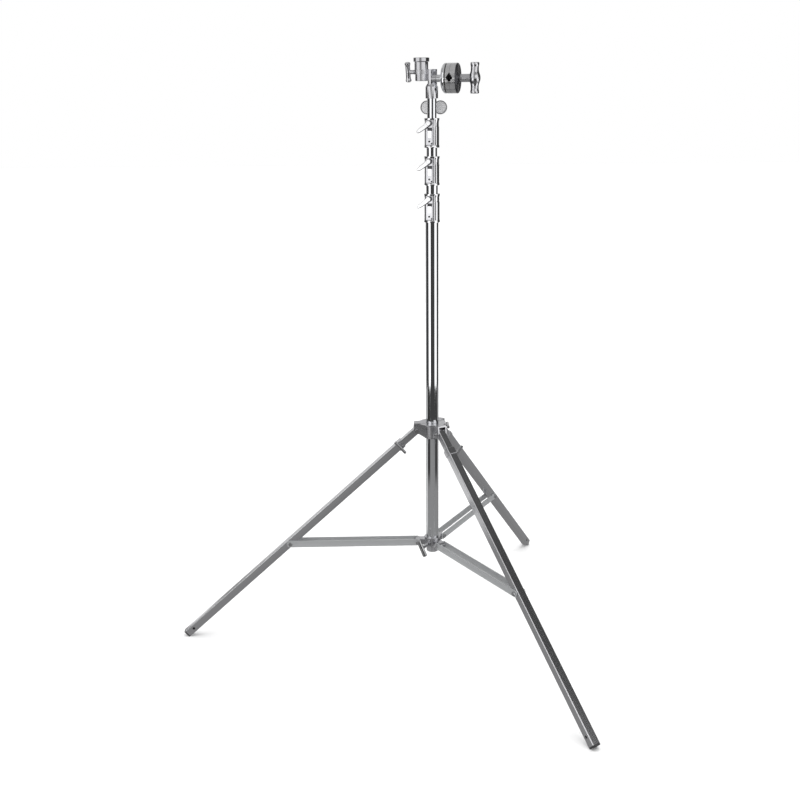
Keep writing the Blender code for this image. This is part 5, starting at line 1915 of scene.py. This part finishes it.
    def handle(self) -> None:
        """Model the T-handle with its stud and its swelling bar."""
        face = self.face + self.boss
        stud, stem, bar_at = self.stud_d / 2.0, self.stem_d / 2.0, face + self.bar_out
        start = self.shoulder - self.tenon + 0.004
        profile = [
            (0.0, start), (stud - 0.001, start), (stud, start + 0.001), (stud, face + GAP),
            (stem - 0.001, face + GAP), (stem, face + GAP + 0.001), (stem, bar_at), (0.0, bar_at),
        ]
        handle = Bench.turned("grip_handle_fine", profile, 64)
        half = self.bar_length / 2.0
        neck, end, bulge = self.neck_d / 2.0, self.end_d / 2.0, self.bulge_d / 2.0
        tip = self.end_round
        side = [
            (end - tip, half), *arc((end - tip, half - tip), tip, TURN / 4.0, 0.0, 5)[1:],
            *flowing([(end, half - 0.008), (neck, half - 0.016)], 8),
            *flowing([(neck, half * 0.52), (bulge, half * 0.04)], 14),
        ]
        profile = [(0.0, half), *side, *((r, -z) for r, z in reversed(side)), (0.0, -half)]
        bar = Bench.turned("bar", profile, 72)
        Bench.join(handle, Bench.lay(bar, move(z=bar_at) @ LAY_ALONG_X))
        Bench.soften(handle, 0.0008, 40.0)
        Bench.lay(handle, self.place)
        Fitting("grip_handle", Finish.HANDLE, ("grip_handle",)).fit(handle, self.place)

    def build(self) -> None:
        """Build every piece of the grip head."""
        self.base()
        self.friction_washer()
        self.inner_jaw()
        self.outer_jaw()
        self.handle()


# Studio


@dataclass(frozen=True)
class Panel:
    """A soft panel that the plated pieces mirror.

    Its sides are degrees from the camera's side, to the camera's right. Its low and high edges are
    a height on the wall, a distance on the floor or an elevation overhead.
    """

    left: float
    right: float
    low: float
    high: float
    level: float


class PanelSheet:
    """The nodes that lay soft panels over one even tone."""

    SIDE_EDGE = 4.0  # Half the width of a panel's left and right edges, in degrees

    def __init__(self, tree: bpy.types.NodeTree, space: bpy.types.NodeSocket) -> None:
        """Start from coordinates in which the camera stands towards -Y.

        Args:
            tree: The node tree of the material or the world.
            space: The socket of the coordinates.
        """
        self.nodes, self.links = tree.nodes, tree.links
        self.split = self.nodes.new("ShaderNodeSeparateXYZ")
        self.links.new(space, self.split.inputs["Vector"])
        back = self.step("MULTIPLY", self.split.outputs["Y"], -1.0)
        self.azimuth = self.step("DEGREES", self.step("ARCTAN2", self.split.outputs["X"], back))

    def step(self, operation: str, first: bpy.types.NodeSocket,
             second: bpy.types.NodeSocket | float = 0.0) -> bpy.types.NodeSocket:
        """Add one sum.

        Args:
            operation: The Math node's operation.
            first: Its first input.
            second: Its second input, a socket or a number.

        Returns:
            The socket of the result.
        """
        node = self.nodes.new("ShaderNodeMath")
        node.operation = operation
        self.links.new(first, node.inputs[0])
        if isinstance(second, float):
            node.inputs[1].default_value = second
        else:
            self.links.new(second, node.inputs[1])
        return node.outputs["Value"]

    def within(self, value: bpy.types.NodeSocket, low: float, high: float, edge: float,
               wraps: bool = False) -> bpy.types.NodeSocket:
        """Mask that is 1 between two values, with soft edges.

        Args:
            value: The value.
            low: The lower one.
            high: The higher one.
            edge: Half the width of the soft edge.
            wraps: Whether the value is an angle that comes round at 180 degrees.

        Returns:
            The socket of the mask.
        """
        away = self.step("SUBTRACT", value, (low + high) / 2.0)
        if wraps:
            away = self.step("WRAP", away, 180.0)
            away.node.inputs[2].default_value = -180.0
        mask = self.nodes.new("ShaderNodeMapRange")
        mask.interpolation_type = "SMOOTHSTEP"
        mask.inputs["From Min"].default_value = (high - low) / 2.0 - edge
        mask.inputs["From Max"].default_value = (high - low) / 2.0 + edge
        mask.inputs["To Min"].default_value = 1.0
        mask.inputs["To Max"].default_value = 0.0
        self.links.new(self.step("ABSOLUTE", away), mask.inputs["Value"])
        return mask.outputs["Result"]

    def lay(self, second: bpy.types.NodeSocket, base: float, panels: tuple[Panel, ...],
            edge: float) -> bpy.types.NodeSocket:
        """Lay panels over a tone.

        Args:
            second: The height, distance or elevation.
            base: The even tone.
            panels: The panels, each over the ones before it.
            edge: Half the width of a panel's low and high edges.

        Returns:
            The socket of the level.
        """
        level = None
        for panel in panels:
            across = self.within(self.azimuth, panel.left, panel.right, self.SIDE_EDGE, wraps=True)
            mask = self.step("MULTIPLY", across, self.within(second, panel.low, panel.high, edge))
            mix = self.nodes.new("ShaderNodeMix")
            mix.inputs["A"].default_value = base
            mix.inputs["B"].default_value = panel.level
            if level is not None:
                self.links.new(level, mix.inputs["A"])
            self.links.new(mask, mix.inputs["Factor"])
            level = mix.outputs["Result"]
        return level


@dataclass
class Studio:
    """Pale floor, a round wall of soft panels, and the camera at the photograph's angle."""

    wall_radius: float = 4.0
    wall_height: float = 5.4
    wall_tone: float = 0.05
    wall_panels: tuple[Panel, ...] = (
        Panel(-62.0, -27.0, -1.0, 1.95, 1.6),
        Panel(-50.0, -6.0, 1.95, 2.22, 1.2),
        Panel(-86.0, -29.0, 2.22, 7.0, 1.1),
        Panel(-27.0, 0.0, 2.22, 7.0, 0.30),
        Panel(45.0, 89.0, -1.0, 1.60, 1.3),
        Panel(38.0, 82.0, 1.60, 2.22, 1.2),
        Panel(2.0, 66.0, 2.22, 4.8, 1.1),
        Panel(150.0, 232.0, -1.0, 7.0, 0.60),
    )
    floor_tone: float = 0.25
    floor_panels: tuple[Panel, ...] = (
        Panel(-98.0, -38.0, 1.9, 5.0, 0.04),
        Panel(53.0, 101.0, 1.9, 5.0, 0.04),
        Panel(-38.0, 53.0, 2.9, 5.0, 0.05),
        Panel(-126.0, -100.0, 0.9, 5.0, 0.75),
    )
    ceiling_tone: float = 0.42
    ceiling_panels: tuple[Panel, ...] = (Panel(60.0, 122.0, 20.0, 64.0, 0.08),)
    floor_size: float = 60.0
    sun_angle: float = math.radians(60.0)
    sun_energy: float = 1.2
    picture: int = 800
    focal_pixels: float = 1095.23
    sensor: float = 36.0
    distance: float = 4.1923
    height: float = 2.188
    azimuth: float = math.radians(13.0)
    pitch: float = math.radians(15.70)
    yaw: float = math.radians(-1.75)
    roll: float = math.radians(-0.56)

    def camera(self) -> None:
        """Set up the camera."""
        data = bpy.data.cameras.new("camera")
        data.sensor_width = self.sensor
        data.lens = self.focal_pixels / self.picture * self.sensor
        camera = bpy.data.objects.new("camera", data)
        bpy.context.scene.collection.objects.link(camera)
        stand = column_place() @ turn(self.azimuth) @ move(y=-self.distance, z=self.height)
        aim = turn(-self.yaw) @ Matrix.Rotation(TURN / 4.0 - self.pitch, 4, "X") @ turn(self.roll)
        camera.matrix_world = stand @ aim
        bpy.context.scene.camera = camera

    def floor(self) -> None:
        """Lay the pale floor. The plated pieces mirror it as a grey one with dark panels and a light one."""
        Bench.clear()
        bpy.ops.mesh.primitive_plane_add(size=self.floor_size)
        floor = bpy.context.object
        floor.name = "floor"
        floor.matrix_world = column_place() @ turn(self.azimuth)
        sheet = NodeSheet("floor", metallic=0.0)
        space = sheet.space(Matrix.Identity(4), 1.0)
        patches = sheet.noise(space, 1.5, 2.0)
        sheet.colour(patches, (0.93, 0.93, 0.93), (0.91, 0.91, 0.91))
        sheet.roughness(patches, (0.75, 0.85))
        panels = PanelSheet(sheet.material.node_tree, space)
        length = sheet.nodes.new("ShaderNodeVectorMath")
        length.operation = "LENGTH"
        sheet.links.new(space, length.inputs[0])
        glow = sheet.nodes.new("ShaderNodeEmission")
        level = panels.lay(length.outputs["Value"], self.floor_tone, self.floor_panels, 0.2)
        sheet.links.new(level, glow.inputs["Color"])
        self.in_mirrors(sheet.material.node_tree, sheet.shader.outputs["BSDF"], glow.outputs["Emission"],
                        sheet.nodes["Material Output"].inputs["Surface"])
        floor.data.materials.append(sheet.material)

    @staticmethod
    def in_mirrors(tree: bpy.types.NodeTree, plain: bpy.types.NodeSocket, mirrored: bpy.types.NodeSocket,
                   output: bpy.types.NodeSocket) -> None:
        """Show one shader plainly and another in the plated pieces.

        Args:
            tree: The node tree.
            plain: The shader that is seen and gives light.
            mirrored: The shader that the plated pieces mirror.
            output: The input that takes the result.
        """
        path, choice = tree.nodes.new("ShaderNodeLightPath"), tree.nodes.new("ShaderNodeMixShader")
        tree.links.new(path.outputs["Is Glossy Ray"], choice.inputs["Fac"])
        tree.links.new(plain, choice.inputs[1])
        tree.links.new(mirrored, choice.inputs[2])
        tree.links.new(choice.outputs["Shader"], output)

    def wall(self) -> None:
        """Stand the round wall of soft panels, which only the plated pieces mirror."""
        Bench.clear()
        bpy.ops.mesh.primitive_cylinder_add(
            radius=self.wall_radius, depth=self.wall_height, vertices=96, end_fill_type="NOTHING"
        )
        wall = bpy.context.object
        wall.name = "studio_wall"
        bpy.ops.object.mode_set(mode="EDIT")
        bpy.ops.mesh.select_all(action="SELECT")
        bpy.ops.transform.translate(value=(0.0, 0.0, self.wall_height / 2.0))
        bpy.ops.object.mode_set(mode="OBJECT")
        wall.matrix_world = column_place() @ turn(self.azimuth)
        wall.visible_camera = False
        wall.visible_diffuse = False
        wall.visible_shadow = False
        wall.visible_transmission = False
        material = bpy.data.materials.new("studio_wall")
        material.use_nodes = True
        tree = material.node_tree
        place = tree.nodes.new("ShaderNodeTexCoord")
        panels = PanelSheet(tree, place.outputs["Object"])
        level = panels.lay(panels.split.outputs["Z"], self.wall_tone, self.wall_panels, 0.04)
        glow = tree.nodes.new("ShaderNodeEmission")
        tree.links.new(level, glow.inputs["Color"])
        tree.links.new(glow.outputs["Emission"], tree.nodes["Material Output"].inputs["Surface"])
        wall.data.materials.append(material)

    def surround(self) -> None:
        """Show and light everything with plain white, and mirror a dim ceiling."""
        world = bpy.data.worlds.new("studio")
        world.use_nodes = True
        bpy.context.scene.world = world
        tree = world.node_tree
        around = tree.nodes.new("ShaderNodeTexCoord")
        facing = tree.nodes.new("ShaderNodeMapping")
        facing.inputs["Rotation"].default_value = (0.0, 0.0, -self.azimuth)
        tree.links.new(around.outputs["Generated"], facing.inputs["Vector"])
        panels = PanelSheet(tree, facing.outputs["Vector"])
        elevation = panels.step("DEGREES", panels.step("ARCSINE", panels.split.outputs["Z"]))
        ceiling = tree.nodes.new("ShaderNodeBackground")
        level = panels.lay(elevation, self.ceiling_tone, self.ceiling_panels, 3.0)
        tree.links.new(level, ceiling.inputs["Color"])
        white = tree.nodes["Background"]
        white.inputs["Color"].default_value = (1.0, 1.0, 1.0, 1.0)
        self.in_mirrors(tree, white.outputs["Background"], ceiling.outputs["Background"],
                        tree.nodes["World Output"].inputs["Surface"])

    def lamp(self) -> None:
        """Light the floor evenly from above with a broad sun."""
        data = bpy.data.lights.new("broad_sun", "SUN")
        data.angle = self.sun_angle
        data.energy = self.sun_energy
        lamp = bpy.data.objects.new("broad_sun", data)
        bpy.context.scene.collection.objects.link(lamp)
        lamp.visible_glossy = False

    def build(self) -> None:
        """Build the whole studio."""
        self.camera()
        self.floor()
        self.wall()
        self.surround()
        self.lamp()
        bpy.context.scene.view_settings.view_transform = "Standard"


def build_stand() -> None:
    """Build every sub-assembly of the stand, from the column to the grip head."""
    Column().build()
    collars = (
        ClampCollar("base", held_d=0.050, guided_d=0.045, outer_d=0.059),
        ClampCollar("riser_1", held_d=0.045, guided_d=0.040, outer_d=0.0565),
        ClampCollar("riser_2", held_d=0.040, guided_d=0.035, outer_d=0.055),
    )
    for collar in collars:
        collar.build()
    BossScrews().build({collar.prefix: collar.screw_seat for collar in collars})
    Hub().build()
    Legs().build()
    Braces().build()
    LowerCollar().build()
    Head().build()
    GripHead().build()
    for number in (1, 2, 3):
        Finish.PLASTIC.dress(frame["nodes"][f"riser_{number}_guide"])


def main() -> None:
    """Build the stand and its studio."""
    logging.basicConfig(level=logging.INFO, format="%(name)s: %(message)s")
    Studio().build()
    build_stand()


if __name__ == "__main__":
    main()
